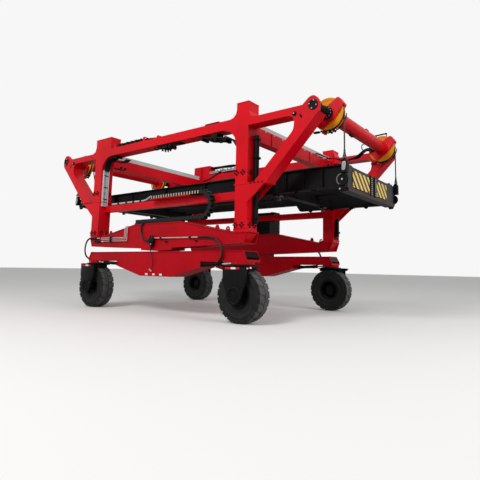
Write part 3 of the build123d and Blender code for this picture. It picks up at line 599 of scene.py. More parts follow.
# Legs, beams and struts. Welded red box sections: lower legs bolted to the sills, upper legs bolted
# on at the seam, lengthwise beams with curved haunches, cantilever arms and inclined struts.
frame_parts = [side + "_" + part for side in ("near", "far")
               for part in ("lower_legs", "legs", "upper_beam", "arms", "struts", "mid_rail")]
dress(signal_red, *frame_parts, "cross_beams", "front_cross_tube", "rear_cross_tube", "chain_tray")
leg_in, leg_mid, leg_out = 2.5275, 2.695, 2.8625
guide_y = 2.0456
stud_sets = (0.035, 0.210)
anchor_z = (3.275, 2.110)
haunch_x, haunch_z = 4.050, 4.350
seam_end = 3.292


def dark_stud(bm, foot, axis, radius=0.042):
    # A capped anchor bolt on a thick dark washer
    foot, axis = Vector(foot), Vector(axis)
    rod(bm, foot, foot + axis * 0.012, radius, 20)
    bolt(bm, foot + axis * 0.010, axis, radius * 1.1, 0.026, washer=False)


def bolt_group(bm, foot, axis):
    # Four anchor bolts set close together in a square
    for place in around(foot, axis, 0.044, 4, math.pi / 4):
        bolt(bm, place, axis, 0.034, 0.026, washer=False)


for side in ("near", "far"):
    y, out = face[side], out_of[side]
    dark, red, light = bmesh.new(), bmesh.new(), bmesh.new()
    for end in (-1, 1):
        rear_edge = leg_in if end > 0 else -leg_out
        for setting in stud_sets:
            for z in anchor_z:
                bolt_group(dark, (rear_edge + setting, y, z), (0, out, 0))
        for z in anchor_z:
            for step in (0.115, 0.290):
                for place, axis in ((leg_out, 1), (leg_in, -1)):
                    bolt_group(dark, (end * place, y - out * step, z), (end * axis, 0, 0))
        bolts(red, row((end * 2.52, y, 2.030), (end * 2.87, y, 2.030), 9), (0, out, 0),
              0.020, 0.014)
        bolts(red, row((end * 2.50, y - out * 0.03, 2.000), (end * 2.50, y - out * 0.355, 2.000), 6),
              (0, 0, 1), 0.030, 0.024)
        dark_stud(dark, (end * haunch_x, y, haunch_z), (0, out, 0), 0.050)
        bolt(light, (end * haunch_x, y + out * 0.024, haunch_z), (0, out, 0), 0.028, 0.016, washer=False)
        slab(dark, [(end * 4.175, 4.330), (end * 4.235, 4.265), (end * 4.215, 4.215), (end * 4.165, 4.290)],
             0.010,
             facing_y(y))
        bolts(dark, row((end * 2.95, y, 3.015), (end * 3.26, y, 3.015), 4), (0, out, 0),
              0.022, 0.014)
        slab(dark, [(end * 2.50, 2.996), (end * seam_end, 2.996), (end * seam_end, 3.002),
                    (end * 2.50, 3.002)], 0.004,
             facing_y(y))
        for x in (3.04, 3.20):
            dark_stud(dark, (end * x, y - out * 0.329, 3.055), (0, -out, 0), 0.036)
            rod(dark, (end * x, y - out * 0.20, 2.985), (end * x, y - out * 0.20, 2.90), 0.022, 12)
    for z in (2.26, 2.86, 3.14, 3.62, 4.05):
        across, reach = leg_out + 0.060, out * guide_y
        for low, high in (((leg_out, reach - 0.075), (across, reach - 0.058)),
                          ((leg_out, reach + 0.058), (across, reach + 0.075)),
                          ((across + 0.056, reach - 0.075), (across + 0.066, reach + 0.075)),
                          ((across - 0.004, reach - 0.075), (across + 0.066, reach - 0.060)),
                          ((across - 0.004, reach + 0.060), (across + 0.066, reach + 0.075))):
            block(dark, (*low, z - 0.025), (*high, z + 0.025), 0.002)
    piece(side + "_anchor_bolts", dark, black_enamel, "frame")
    piece(side + "_stud_heads", light, zinc, "frame")
    piece(side + "_flange_bolts", red, signal_red, "frame")


# Guide pipes. Round steel pipes in black paint, upright on the faces of the front legs that look
# towards the heads. Short brackets hold them, and each is in two lengths with a gap at the seam.
guides = bmesh.new()
guide_x, guide_radius = leg_out + 0.060, 0.0595
for y in (-guide_y, guide_y):
    for low, high in ((2.140, 2.975), (3.030, 4.140)):
        pipe = [(0, low), (guide_radius - 0.008, low), (guide_radius, low + 0.008),
                (guide_radius, high - 0.008), (guide_radius - 0.008, high), (0, high)]
        turned(guides, pipe, (guide_x, y, 0), (0, 0, 1), 32, closed=False)
piece("guide_pipes", guides, black_enamel, "frame", ["leg_rails"])


# Cable tray, hoses and fittings of the rear leg and the near upper beam. A light grey channel up
# the rear leg carries two flat cables, and black hoses run from it under the beam and along its top.
light_grey = painted("light_grey", (0.52, 0.53, 0.53, 1), (0.42, 0.43, 0.43, 1), 0.45, 0.15, 0.2, gloss=0.05)
tray_y = (-2.245, -2.065)
tray_z = (2.900, 3.960)
tray_x = -2.5275

tray = bmesh.new()
block(tray, (tray_x, tray_y[0], tray_z[0]), (tray_x + 0.006, tray_y[1], tray_z[1]))
for y in (tray_y[0], tray_y[1] - 0.008):
    block(tray, (tray_x, y, tray_z[0]), (tray_x + 0.060, y + 0.008, tray_z[1]), 0.002)
block(tray, (tray_x, tray_y[0], tray_z[0] - 0.012), (tray_x + 0.075, -1.94, tray_z[0]), 0.002)
for y in (-2.200, -2.115):
    block(tray, (tray_x + 0.006, y - 0.024, tray_z[0]), (tray_x + 0.034, y + 0.024, tray_z[1] + 0.03), 0.004)
piece("leg_cable_tray", tray, light_grey, "frame")

bands, hoses = bmesh.new(), bmesh.new()
for z in (3.10, 3.45, 3.80):
    block(bands, (tray_x + 0.004, tray_y[0] + 0.01, z - 0.012), (tray_x + 0.042, tray_y[1] - 0.01, z + 0.012),
          0.003)
for k in range(6):
    y = -2.235 + k * 0.033
    sag = 0.012 * math.sin(k * 2.1)
    line(hoses, [(-2.490, y, 3.93), (-2.475, y, 4.03 + sag), (-2.44, y, 4.14 + sag), (-2.36, y, 4.235 + sag),
                 (-2.25, y, 4.275), (-2.10, y, 4.285), (-1.92, y, 4.290)], 0.016)
for k in range(4):
    y = -2.13 + k * 0.04
    line(hoses, [(-2.33, y, 4.275), (-2.20, y + 0.04, 4.21), (-2.05, y + 0.10, 4.18), (-1.92, y + 0.16, 4.20),
                 (-1.85, y + 0.2, 4.27)], 0.018)
line(hoses, [(-2.86, -2.22, 4.16), (-3.00, -2.24, 4.10), (-3.02, -2.24, 3.95), (-2.95, -2.25, 3.80),
             (-2.90, -2.24, 3.60), (-2.86, -2.22, 3.42)], 0.016)
line(hoses, [(-2.86, -2.10, 4.05), (-2.96, -2.12, 3.96), (-2.97, -2.12, 3.80), (-2.92, -2.12, 3.62),
             (-2.86, -2.10, 3.50)], 0.013)
block(bands, (-2.20, -2.26, 4.262), (-2.16, -2.02, 4.330), 0.004)
block(bands, (-1.98, -2.26, 4.262), (-1.94, -2.02, 4.330), 0.004)
brackets = bmesh.new()
for k in range(5):
    y = -2.26 + k * 0.040
    wave = [0.020 * math.sin(j * 1.9 + k * 2.3) for j in range(7)]
    line(hoses, [(-1.92, y, 4.556), (-1.86, y, 4.61), (-1.72, y, 4.625 + wave[0]), (-1.54, y, 4.60 + wave[1]),
                 (-1.36, y, 4.615 + wave[2]), (-1.16, y, 4.595 + wave[3]), (-0.96, y, 4.605 + wave[4]),
                 (-0.76, y, 4.60 + wave[5]), (-0.60, y, 4.59), (-0.40, y, 4.575), (-0.24, y, 4.556)], 0.017)
for x, wide in ((-1.80, 0.05), (-1.66, 0.03), (-1.44, 0.05), (-1.24, 0.03), (-1.06, 0.045), (-0.84, 0.03)):
    block(bands, (x - wide, -2.285, 4.550), (x + wide, -2.075, 4.640), 0.008)
for x in (-1.72, -1.52, -1.34, -1.14, -0.94):
    for k in range(5):
        rod(bands, (x - 0.04, -2.26 + k * 0.04, 4.612), (x + 0.04, -2.26 + k * 0.04, 4.612), 0.023, 10)
for x, tall in ((-1.985, 0.12), (-0.72, 0.115), (-0.16, 0.06)):
    slab(brackets, [(x - 0.05, 4.549), (x + 0.06, 4.549), (x + 0.03, 4.55 + tall), (x - 0.02, 4.55 + tall)],
         0.012,
         facing_y(-2.275))
    block(brackets, (x - 0.02, -2.275, 4.55 + tall - 0.012), (x + 0.03, -2.08, 4.55 + tall), 0.002)
block(bands, (1.53, -2.28, 4.550), (1.97, -2.05, 4.590), 0.008)
for x in (1.62, 1.86):
    rod(bands, (x, -2.16, 4.58), (x, -2.16, 4.612), 0.03, 16)
block(bands, (-0.20, -2.25, 4.268), (0.05, -2.06, 4.332), 0.008)
block(bands, (0.02, -2.26, 4.215), (0.20, -2.06, 4.332), 0.010)
rod(bands, (0.30, -2.265, 4.250), (0.30, -2.05, 4.250), 0.050, 18)
slab(bands, [(0.36, 4.331), (0.66, 4.331), (0.60, 4.300), (0.42, 4.296)], 0.20, facing_y(-2.15))
for x, drop in ((-0.02, 0.085), (0.08, 0.100), (0.17, 0.09)):
    rod(bands, (x, -2.20, 4.27), (x, -2.20, 4.262 - drop), 0.024, 14)
    rod(bands, (x, -2.10, 4.27), (x, -2.10, 4.262 - drop), 0.020, 14)
line(hoses, [(-0.16, -2.15, 4.290), (-0.26, -2.15, 4.255), (-0.36, -2.15, 4.265), (-0.42, -2.15, 4.330)],
     0.014)
line(hoses, [(0.18, -2.17, 4.26), (0.26, -2.17, 4.22), (0.36, -2.17, 4.24), (0.44, -2.17, 4.30)], 0.018)
piece("beam_brackets", brackets, signal_red, "frame")
for k in range(6):
    y = -2.26 + k * 0.036
    dip = 0.03 * (k % 3)
    line(hoses, [(1.30, y, 4.335), (1.45, y, 4.275), (1.66, y, 4.235 - dip), (1.88, y, 4.215 - dip),
                 (2.05, y, 4.18 - dip), (2.20, y, 4.15), (2.34, y, 4.12), (2.44, y, 4.02), (2.505, y, 3.92)],
         0.017)
block(bands, (1.42, -2.28, 4.20), (1.48, -2.04, 4.332), 0.006)
block(bands, (1.84, -2.28, 4.13), (1.92, -2.04, 4.332), 0.006)
block(bands, (2.12, -2.27, 4.07), (2.20, -2.05, 4.20), 0.006)
piece("beam_hoses", hoses, hose_rubber, "frame")
piece("beam_clamps", bands, black_enamel, "frame")


# Mid rail fittings. A thin hydraulic cylinder in light grey paint lies on top of the near mid rail,
# held down by black clamps, with its pipe bent off to the side.
rail_top = 2.900
ram, black = bmesh.new(), bmesh.new()
rod(ram, (-2.30, -2.07, rail_top + 0.040), (-0.90, -2.07, rail_top + 0.040), 0.026, 18)
line(ram, [(-0.92, -2.07, rail_top + 0.040), (-0.75, -2.08, rail_top + 0.045),
           (-0.60, -2.12, rail_top + 0.08),
           (-0.46, -2.16, rail_top + 0.11), (-0.36, -2.19, rail_top + 0.115)], 0.020)
for x in (-2.26, -1.92, -1.56, -1.25, -0.95):
    block(black, (x - 0.035, -2.105, rail_top), (x + 0.035, -2.035, rail_top + 0.075), 0.006)
piece("rail_cylinder", ram, light_grey, "frame")
piece("rail_clamps", black, black_enamel, "frame")


# Cable carrier. Moulded black links pinned end to end, each with two side plates and two crossbars,
# carry the hoses from the trough on the sill up and over to the tray on the mid rail.
link_pitch = 0.092
chain_y = (-2.285, -2.150)
bend_x, bend_z, bend_radius = 1.460, 2.655, 0.305
low_start, top_end = -0.870, -0.320
moulded = enamel("moulded_links", (0.008, 0.008, 0.0085, 1), 0.42)
brass = enamel("pale_clips", (0.62, 0.53, 0.38, 1), 0.3)


def along_chain(s):
    # Place and heading on the carrier's centre line, from the start of its lower run
    low_run = bend_x - low_start
    turn = math.pi * bend_radius
    if s < low_run:
        return Vector((low_start + s, 0, bend_z - bend_radius)), 0.0
    if s < low_run + turn:
        a = (s - low_run) / bend_radius
        return Vector((bend_x + bend_radius * math.sin(a), 0, bend_z - bend_radius * math.cos(a))), a
    return Vector((bend_x - (s - low_run - turn), 0, bend_z + bend_radius)), math.pi


def bar(bm, spot, x, y, z, size):
    # A moulded bar set in a link's own axes
    place = Matrix.Translation((x, y, z)) @ Matrix.Diagonal((*size, 1))
    bmesh.ops.create_cube(bm, size=1.0, matrix=spot @ place)


chain_middle, chain_wide = sum(chain_y) / 2, chain_y[1] - chain_y[0]
chain_length = (bend_x - low_start) + math.pi * bend_radius + (bend_x - top_end)
link_shape = [(-0.044, -0.030), (-0.032, -0.044), (0.020, -0.044), (0.030, -0.036), (0.044, -0.036),
              (0.044, 0.036), (0.030, 0.036), (0.020, 0.044), (-0.032, 0.044), (-0.044, 0.030)]
links, pins, inside = bmesh.new(), bmesh.new(), bmesh.new()
for k in range(int(chain_length / link_pitch)):
    place, heading = along_chain((k + 0.5) * link_pitch)
    spot = Matrix.Translation(place) @ Matrix.Rotation(-heading, 4, "Y")
    for y in (chain_y[0] + 0.007, chain_y[1] - 0.007):
        slab(links, link_shape, 0.013, spot @ facing_y(y))
    for x in (-0.022, 0.022):
        for z in (-0.040, 0.040):
            bar(links, spot, x, chain_middle, z, (0.018, chain_wide - 0.02, 0.008))
    bent = 0 < heading < math.pi
    bar(links, spot, 0, chain_middle, -0.052 if bent else -0.046,
        (0.050, chain_wide + 0.006, 0.024 if bent else 0.012))
    if bent:
        bar(links, spot, 0, chain_middle, 0.047, (0.034, chain_wide + 0.006, 0.016))
    if heading == math.pi:
        bar(pins, spot, 0, chain_y[0] - 0.003, 0.002, (0.026, 0.008, 0.070))
for k in range(4):
    y = chain_y[0] + 0.030 + k * 0.025
    steps = 60
    for j in range(steps):
        start, _ = along_chain(chain_length * j / steps)
        end, _ = along_chain(chain_length * (j + 1) / steps)
        rod(inside, start + Vector((0, y, 0)), end + Vector((0, y, 0)), 0.011, 6)
piece("carrier_links", links, moulded, "frame", ["energy_chain"])
piece("carrier_pins", pins, brass, "frame")
piece("carrier_hoses", inside, hose_rubber, "frame")
dress(black_enamel, "chain_trough")


# Cross members. Red box beams bolted between the legs with light trunking on top, and round tubes
# between the heads. Hoses, stiffeners and rows of bolts run along them.
dress(light_grey, "cable_trunks")
bright, black, red = bmesh.new(), bmesh.new(), bmesh.new()
beam_face, beam_low, beam_high = 0.120, 4.080, 4.400
flange_y = 1.882
for end in (-1, 1):
    front, inner = end * (leg_mid + beam_face), end * (leg_mid - beam_face)
    for y in (-1.60, -1.45):
        block(black, (inner, y - 0.025, 4.130), (inner - end * 0.050, y + 0.025, 4.190), 0.006)
        line(black, [(inner - end * 0.03, y, 4.15), (inner - end * 0.06, y - 0.05, 4.10),
                     (inner - end * 0.05, y - 0.16, 4.07), (inner - end * 0.02, y - 0.26, 4.12)], 0.014)
    for side in (-1, 1):
        for x in (inner - end * 0.02, front + end * 0.02):
            bolts(red, row((x, side * flange_y, beam_low), (x, side * flange_y, 4.36), 5), (0, -side, 0),
                  0.030, 0.020)
    for y in (-1.30, -0.36, 0.58, 1.53):
        block(red, (front, y - 0.006, beam_low + 0.01), (front + end * 0.020, y + 0.006, beam_high - 0.01),
              0.002)
    for y in [-1.55 + 0.37 * k for k in range(9)]:
        bolt(bright, (front, y, 4.370), (end, 0, 0), 0.026, 0.018)
    line(black, [(front + end * 0.02, 1.72, 4.42), (front + end * 0.05, 1.55, 4.44),
                 (front + end * 0.06, 1.30, 4.41),
                 (front + end * 0.05, 1.05, 4.42), (front + end * 0.02, 0.90, 4.41)], 0.018)
piece("cross_beam_pipes", bright, light_grey, "frame")
piece("cross_beam_fittings", black, black_enamel, "frame")
piece("cross_beam_bolts", red, signal_red, "frame")


# Heads. A gearbox behind each nose plate drives its drum. Its bolted flange shows on the outer
# face, and a black shaft housing runs from the plate to the drum's yoke.
drum_low, drum_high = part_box("front_drums")
head_x, head_z = (drum_low[0] + drum_high[0]) / 2, (drum_low[2] + drum_high[2]) / 2
yoke_outer, yoke_inner = 1.691, 1.505
plate_inner, plate_outer = 2.225, 2.295
black, bright = bmesh.new(), bmesh.new()
for end in (-1, 1):
    for side in (-1, 1):
        centre = (end * head_x, 0, head_z)
        turned(black, [(0.105, side * (plate_outer - 0.008)), (0.105, side * 2.313), (0.100, side * 2.317),
                       (0.060, side * 2.317), (0.054, side * 2.304), (0.020, side * 2.304),
                       (0.016, side * 2.312), (0, side * 2.312)], centre, steps=40, closed=False)
        for place in around((end * head_x, side * 2.316, head_z), (0, side, 0), 0.081, 4, 0.5):
            bolt(bright, place, (0, side, 0), 0.024, 0.008, washer=False)
        turned(black, [(0, side * yoke_outer), (0.139, side * yoke_outer),
                       (0.139, side * (yoke_outer + 0.055)),
                       (0.128, side * (yoke_outer + 0.062)), (0.104, side * (yoke_outer + 0.070)),
                       (0.098, side * 1.84), (0.112, side * 1.845), (0.112, side * 1.875),
                       (0.098, side * 1.88),
                       (0.098, side * 2.13), (0.125, side * 2.14), (0.125, side * plate_inner),
                       (0, side * plate_inner)], centre, steps=40, closed=False)
        for place in around((end * head_x, side * (yoke_outer + 0.060), head_z), (0, side, 0), 0.118, 12):
            bolt(bright, place, (0, side, 0), 0.016, 0.010, washer=False)
piece("gearbox_flanges", black, black_enamel, "frame", ["hoist_motors"])
piece("gearbox_bolts", bright, zinc, "frame")


# Hoist drums. Narrow plate drums in orange yellow enamel: two cheeks with pressed rims either side
# of a deep groove that holds the wound rope.
drum_yellow = painted("drum_yellow", (0.80, 0.31, 0.013, 1), (0.64, 0.22, 0.010, 1), 0.36, 0.08, 0.5)
rope_steel = Finish("rope_steel")
lay = rope_steel.node("TexWave", {"bands_direction": "DIAGONAL"}, {"Vector": rope_steel.place, "Scale": 26.0})
rope_steel.give(Base_Color=rope_steel.over((0.018, 0.018, 0.018, 1), (0.075, 0.073, 0.070, 1), lay),
                Roughness=0.5, Metallic=0.4, Normal=rope_steel.relief(lay, 0.6, 0.004))
rope_steel = rope_steel.material
groove, bore = 0.338, 0.061
rope_y = 1.598
rope_radius, strand_circle, strand_radius = 0.013, 0.0100, 0.0064
cheek_outline = [(bore, 0.052), (0.100, 0.052), (0.106, 0.046), (0.150, 0.045), (0.296, 0.045),
                 (0.304, 0.052),
                 (0.348, 0.0545), (0.3545, 0.050), (0.3545, 0.040), (0.345, 0.034), (0.3375, 0.024)]
for name, end in (("front", 1), ("rear", -1)):
    drums, turns = bmesh.new(), bmesh.new()
    for side in (-1, 1):
        centre = (end * head_x, side * rope_y, head_z)
        turned(drums, cheek_outline + [(r, -y) for r, y in reversed(cheek_outline)], centre, steps=96)
        for face_side in (-1, 1):
            at = (end * head_x, side * rope_y + face_side * 0.045, head_z)
            for place in around(at, (0, face_side, 0), 0.125, 10):
                bolt(drums, place, (0, face_side, 0), 0.020, 0.006, washer=False)
        for shift in (-0.013, 0.013):
            ring = [(groove + 0.009 + 0.010 * math.cos(a), shift + 0.012 * math.sin(a))
                    for a in (math.pi * 2 * k / 8 for k in range(8))]
            turned(turns, ring, centre, steps=96)
    piece(name + "_yellow_drums", drums, drum_yellow, name + "_hoist_drums", [name + "_drums"])
    piece(name + "_wound_rope", turns, rope_steel, name + "_hoist_drums")


# Hoist ropes. Six steel strands are laid round each rope's line. A rope drops straight from its drum
# to the socket at the corner of the lifting frame.
rope_x = head_x + groove + rope_radius + 0.0003
rope_foot = 3.640
ropes = bmesh.new()
for end in (-1, 1):
    for side in (-1, 1):
        for strand in range(6):
            a = strand * math.pi / 3
            turns, steps = 5, 60
            for k in range(steps):
                spots = []
                for j in (k, k + 1):
                    twist = a + 2 * math.pi * turns * j / steps
                    spots.append(Vector((end * rope_x + strand_circle * math.cos(twist),
                                         side * rope_y + strand_circle * math.sin(twist),
                                         head_z - (head_z - rope_foot) * j / steps)))
                rod(ropes, spots[0], spots[1], strand_radius, 6)
ropes = piece("laid_ropes", ropes, rope_steel, None, ["hoist_ropes"])
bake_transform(ropes)


# Rope guards. Flat bars either side of the rope follow each drum's lower rim between the yoke's
# cheeks, with black rollers across them, so that a slack rope can't leave its groove.
guard_low, guard_high = 0.372, 0.392
guard_set = 0.0565
bars, brackets = bmesh.new(), bmesh.new()
for end in (-1, 1):
    for side in (-1, 1):
        for shift in (-guard_set, guard_set):
            arc = [math.radians(-4 - 112 * k / 18) for k in range(19)]
            outline = [(end * (head_x + r * math.cos(a)), head_z + r * math.sin(a))
                       for r, turn in ((guard_high, arc), (guard_low, arc[::-1])) for a in turn]
            slab(bars, outline, 0.011, facing_y(side * rope_y + shift))
        for angle, radius in ((-62, 0.013), (-72, 0.026), (-84, 0.026), (-96, 0.013), (-114, 0.016)):
            a = math.radians(angle)
            spot = Vector((end * (head_x + guard_high * math.cos(a)), side * rope_y,
                           head_z + guard_high * math.sin(a)))
            rod(bars, spot - Vector((0, 0.062, 0)), spot + Vector((0, 0.062, 0)), radius, 16)
        block(brackets, (end * (head_x - 0.130), side * rope_y - 0.075, head_z - 0.415),
              (end * (head_x - 0.075), side * rope_y + 0.075, head_z - 0.375), 0.006)
        block(bars, (end * (head_x - 0.330), side * (rope_y + 0.050) - 0.040, head_z - 0.385),
              (end * (head_x - 0.190), side * (rope_y + 0.050) + 0.040, head_z - 0.350), 0.008)
        if side > 0:
            rod(bars, (end * 4.24, rope_y, 4.850), (end * 4.62, rope_y, 4.872), 0.020, 14)
            for x in (4.30, 4.58):
                slab(bars, [(end * x - 0.012, 4.700), (end * x + 0.012, 4.700), (end * x + 0.010, 4.875),
                            (end * x - 0.010, 4.868)],
                     0.012, facing_y(rope_y + 0.085))
                rod(bars, (end * x, rope_y, 4.862), (end * x, rope_y + 0.090, 4.862), 0.010, 10)
piece("rope_guards", bars, black_enamel, "frame")
piece("rope_guard_brackets", brackets, signal_red, "frame")


# Head hoses and cross tube walls. Black hoses droop from the far head along its arm to the front
# beam. The cross tubes have round red walls with a collar at each end, and clamps on the front one.
tube_z, tube_r = head_z + 0.025, 0.1605
hoses, bands = bmesh.new(), bmesh.new()
for k in range(3):
    shift = 0.034 * k
    line(hoses, [(4.30, 1.50, 4.47 - shift), (4.16, 1.46 - shift, 4.50 - shift), (4.02, 1.44, 4.46 - shift),
                 (3.86, 1.44 + shift, 4.33 - shift), (3.66, 1.46, 4.26), (3.42, 1.50, 4.27 - shift),
                 (3.16, 1.56, 4.36), (2.96, 1.62, 4.42), (2.78, 1.66, 4.43)], 0.019)
line(hoses, [(4.32, 1.02, 4.47), (4.27, 0.86, 4.46), (4.26, 0.72, 4.38), (4.27, 0.68, 4.28),
             (4.30, 0.80, 4.23), (4.31, 0.98, 4.29), (4.31, 1.10, 4.38)], 0.013)
tubes = bmesh.new()
for end in (-1, 1):
    turned(tubes, [(0.0, -yoke_inner), (tube_r + 0.012, -yoke_inner), (tube_r + 0.012, -yoke_inner + 0.022),
                   (tube_r, -yoke_inner + 0.030), (tube_r, yoke_inner - 0.030),
                   (tube_r + 0.012, yoke_inner - 0.022),
                   (tube_r + 0.012, yoke_inner), (0.0, yoke_inner)], (end * head_x, 0, tube_z), steps=64,
           closed=False)
piece("cross_tube_walls", tubes, signal_red, "frame")
block(bands, (head_x - 0.05, 0.42, tube_z + tube_r), (head_x + 0.05, 0.54, tube_z + tube_r + 0.045), 0.010)
rod(bands, (head_x, 0.48, tube_z + tube_r), (head_x, 0.48, tube_z + tube_r + 0.075), 0.022, 14)
block(bands, (head_x - 0.03, -0.52, tube_z - tube_r - 0.045), (head_x + 0.03, -0.40, tube_z - tube_r), 0.008)
line(hoses, [(head_x, -0.56, tube_z - tube_r - 0.02), (head_x, -0.46, tube_z - tube_r - 0.07),
             (head_x, -0.34, tube_z - tube_r - 0.03), (head_x, -0.26, tube_z - tube_r + 0.004)], 0.013)
piece("head_hoses", hoses, hose_rubber, "frame")
piece("cross_tube_clamps", bands, black_enamel, "frame")


# Far beam fittings. A bank of hydraulic valves in red brackets sits on the far upper beam, with
# grey pipes and a bundle of black hoses hooped over it.
valves, pipes, hoses, brackets = bmesh.new(), bmesh.new(), bmesh.new(), bmesh.new()
block(valves, (-1.98, 2.03, 4.550), (-0.98, 2.20, 4.580), 0.006)
for k in range(6):
    x = -1.90 + k * 0.165
    block(valves, (x - 0.055, 2.05, 4.575), (x + 0.055, 2.18, 4.690), 0.012)
    rod(valves, (x, 2.115, 4.685), (x, 2.115, 4.745), 0.032, 18)
    rod(pipes, (x + 0.060, 1.985, 4.640), (x + 0.060, 2.052, 4.640), 0.020, 16)
for z in (4.62, 4.67):
    line(pipes, [(-2.30, 1.99, z - 0.02), (-1.95, 1.985, z - 0.01), (-1.5, 1.98, z), (-1.0, 1.985, z + 0.005),
                 (-0.80, 1.995, z), (-0.76, 2.02, z - 0.05)], 0.017)
for k in range(4):
    y = 2.06 + k * 0.045
    line(hoses, [(-2.50, y, 4.60), (-2.46, y, 4.72), (-2.30, y, 4.82), (-2.05, y, 4.845 - 0.01 * k),
                 (-1.70, y, 4.83),
                 (-1.35, y, 4.835 - 0.012 * k), (-1.02, y, 4.82), (-0.82, y, 4.76), (-0.76, y, 4.62),
                 (-0.75, y, 4.56)],
         0.022)
line(hoses, [(-1.52, 1.975, 4.66), (-1.62, 1.945, 4.62), (-1.82, 1.940, 4.52), (-2.06, 1.940, 4.42),
             (-2.28, 1.945, 4.37), (-2.44, 1.95, 4.36)], 0.018)
line(hoses, [(-2.50, 2.15, 4.60), (-2.54, 2.10, 4.50), (-2.60, 1.95, 4.47), (-2.62, 1.80, 4.50),
             (-2.62, 1.66, 4.51)], 0.020)
for x in (-2.52, -2.16, -1.56, -0.86):
    slab(brackets, [(x - 0.05, 4.549), (x + 0.05, 4.549), (x + 0.03, 4.74), (x - 0.03, 4.74)], 0.012,
         facing_y(2.02))
    block(brackets, (x - 0.03, 2.02, 4.728), (x + 0.03, 2.23, 4.740), 0.003)
piece("far_beam_valves", valves, black_enamel, "frame")
piece("far_beam_pipes", pipes, light_grey, "frame")
piece("far_beam_hoses", hoses, hose_rubber, "frame")
piece("far_beam_brackets", brackets, signal_red, "frame")


# Power pack. Engine and hydraulics behind black sheet doors on the far sill, each door hung on two
# hinges, with rows of pressed louvres, a sunk handle and louvres in the front end.
pack_low, pack_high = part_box("engine_housing")
doors, fittings = bmesh.new(), bmesh.new()
door_count, door_gap = 3, 0.020
door_wide = (pack_high[0] - pack_low[0] - (door_count + 1) * door_gap) / door_count
skin = pack_high[1]
for k in range(door_count):
    x0 = pack_low[0] + door_gap + k * (door_wide + door_gap)
    x1 = x0 + door_wide
    block(doors, (x0, skin, pack_low[2] + 0.04), (x1, skin + 0.010, pack_high[2] - 0.03), 0.004)
    for step in range(9):
        z = pack_low[2] + 0.14 + step * 0.040
        slab(doors, [(skin + 0.009, z), (skin + 0.020, z - 0.020), (skin + 0.009, z - 0.020)],
             door_wide * 0.62,
             Matrix(((0, 0, 1, (x0 + x1) / 2), (1, 0, 0, 0), (0, 1, 0, 0), (0, 0, 0, 1))))
    for z in (pack_low[2] + 0.14, pack_high[2] - 0.14):
        rod(fittings, (x0 + 0.012, skin + 0.012, z - 0.035), (x0 + 0.012, skin + 0.012, z + 0.035), 0.009, 12)
    block(fittings, (x1 - 0.075, skin + 0.008, pack_high[2] - 0.24),
          (x1 - 0.030, skin + 0.016, pack_high[2] - 0.13), 0.003)
for step in range(11):
    z = pack_low[2] + 0.16 + step * 0.045
    slab(doors, [(pack_high[0] - 0.001, z), (pack_high[0] + 0.012, z - 0.022),
                 (pack_high[0] - 0.001, z - 0.022)], 0.24,
         facing_y(skin - 0.19))
rod(fittings, (pack_high[0] - 0.20, skin - 0.17, pack_high[2]),
    (pack_high[0] - 0.20, skin - 0.17, pack_high[2] + 0.035), 0.045, 24)
dress(black_enamel, "engine_housing")
piece("power_pack_doors", doors, black_enamel, "frame")
piece("power_pack_fittings", fittings, zinc, "frame")


# Lifting frame. Black plate beams hang on the four ropes: side beams with upright stiffeners, end
# beams with striped plates and cable columns, cross members over the locks, and two girders.
spreader_black = painted("spreader_black", (0.0042, 0.0040, 0.0046, 1), (0.0090, 0.0088, 0.0090, 1), 0.42,
                         0.03, 0.3)
# The end beams' lighter grey is painted light: a brighter copy of the frame's black for the lit end faces.
lit_end_grey = painted("lit_end_grey", (0.040, 0.040, 0.042, 1), (0.030, 0.029, 0.030, 1), 0.45, 0.15, 0.35)
worn_brown = painted("worn_brown", (0.085, 0.048, 0.044, 1), (0.045, 0.034, 0.032, 1), 0.6, 0.1, 0.6)
dress(spreader_black, "spreader_side_beams", "spreader_corners", "spreader_lock_beams", "spreader_girders")
dress(lit_end_grey, "spreader_end_beams")
stripe_pitch, stripe_slant = 0.23, 1.05

striped = Finish("hazard_stripes")
along = striped.node("SeparateXYZ", {}, {0: striped.place}, "Y")
height = striped.node("SeparateXYZ", {}, {0: striped.place}, "Z")
wave = striped.node("Math", {"operation": "PINGPONG"},
                    {0: (along + height * stripe_slant) * (1 / stripe_pitch), 1: 0.5})
scuffs = striped.noise(38.0, 5.0)
colour = striped.between(wave, 0.24, 0.26) * (1 - striped.between(scuffs, 0.60, 0.68) * 0.55)
striped.give(Base_Color=striped.over((0.010, 0.010, 0.011, 1), (0.80, 0.52, 0.075, 1), colour),
             Roughness=0.42 + scuffs * 0.2, Normal=striped.relief(scuffs, 0.12, 0.003))
striped = striped.material

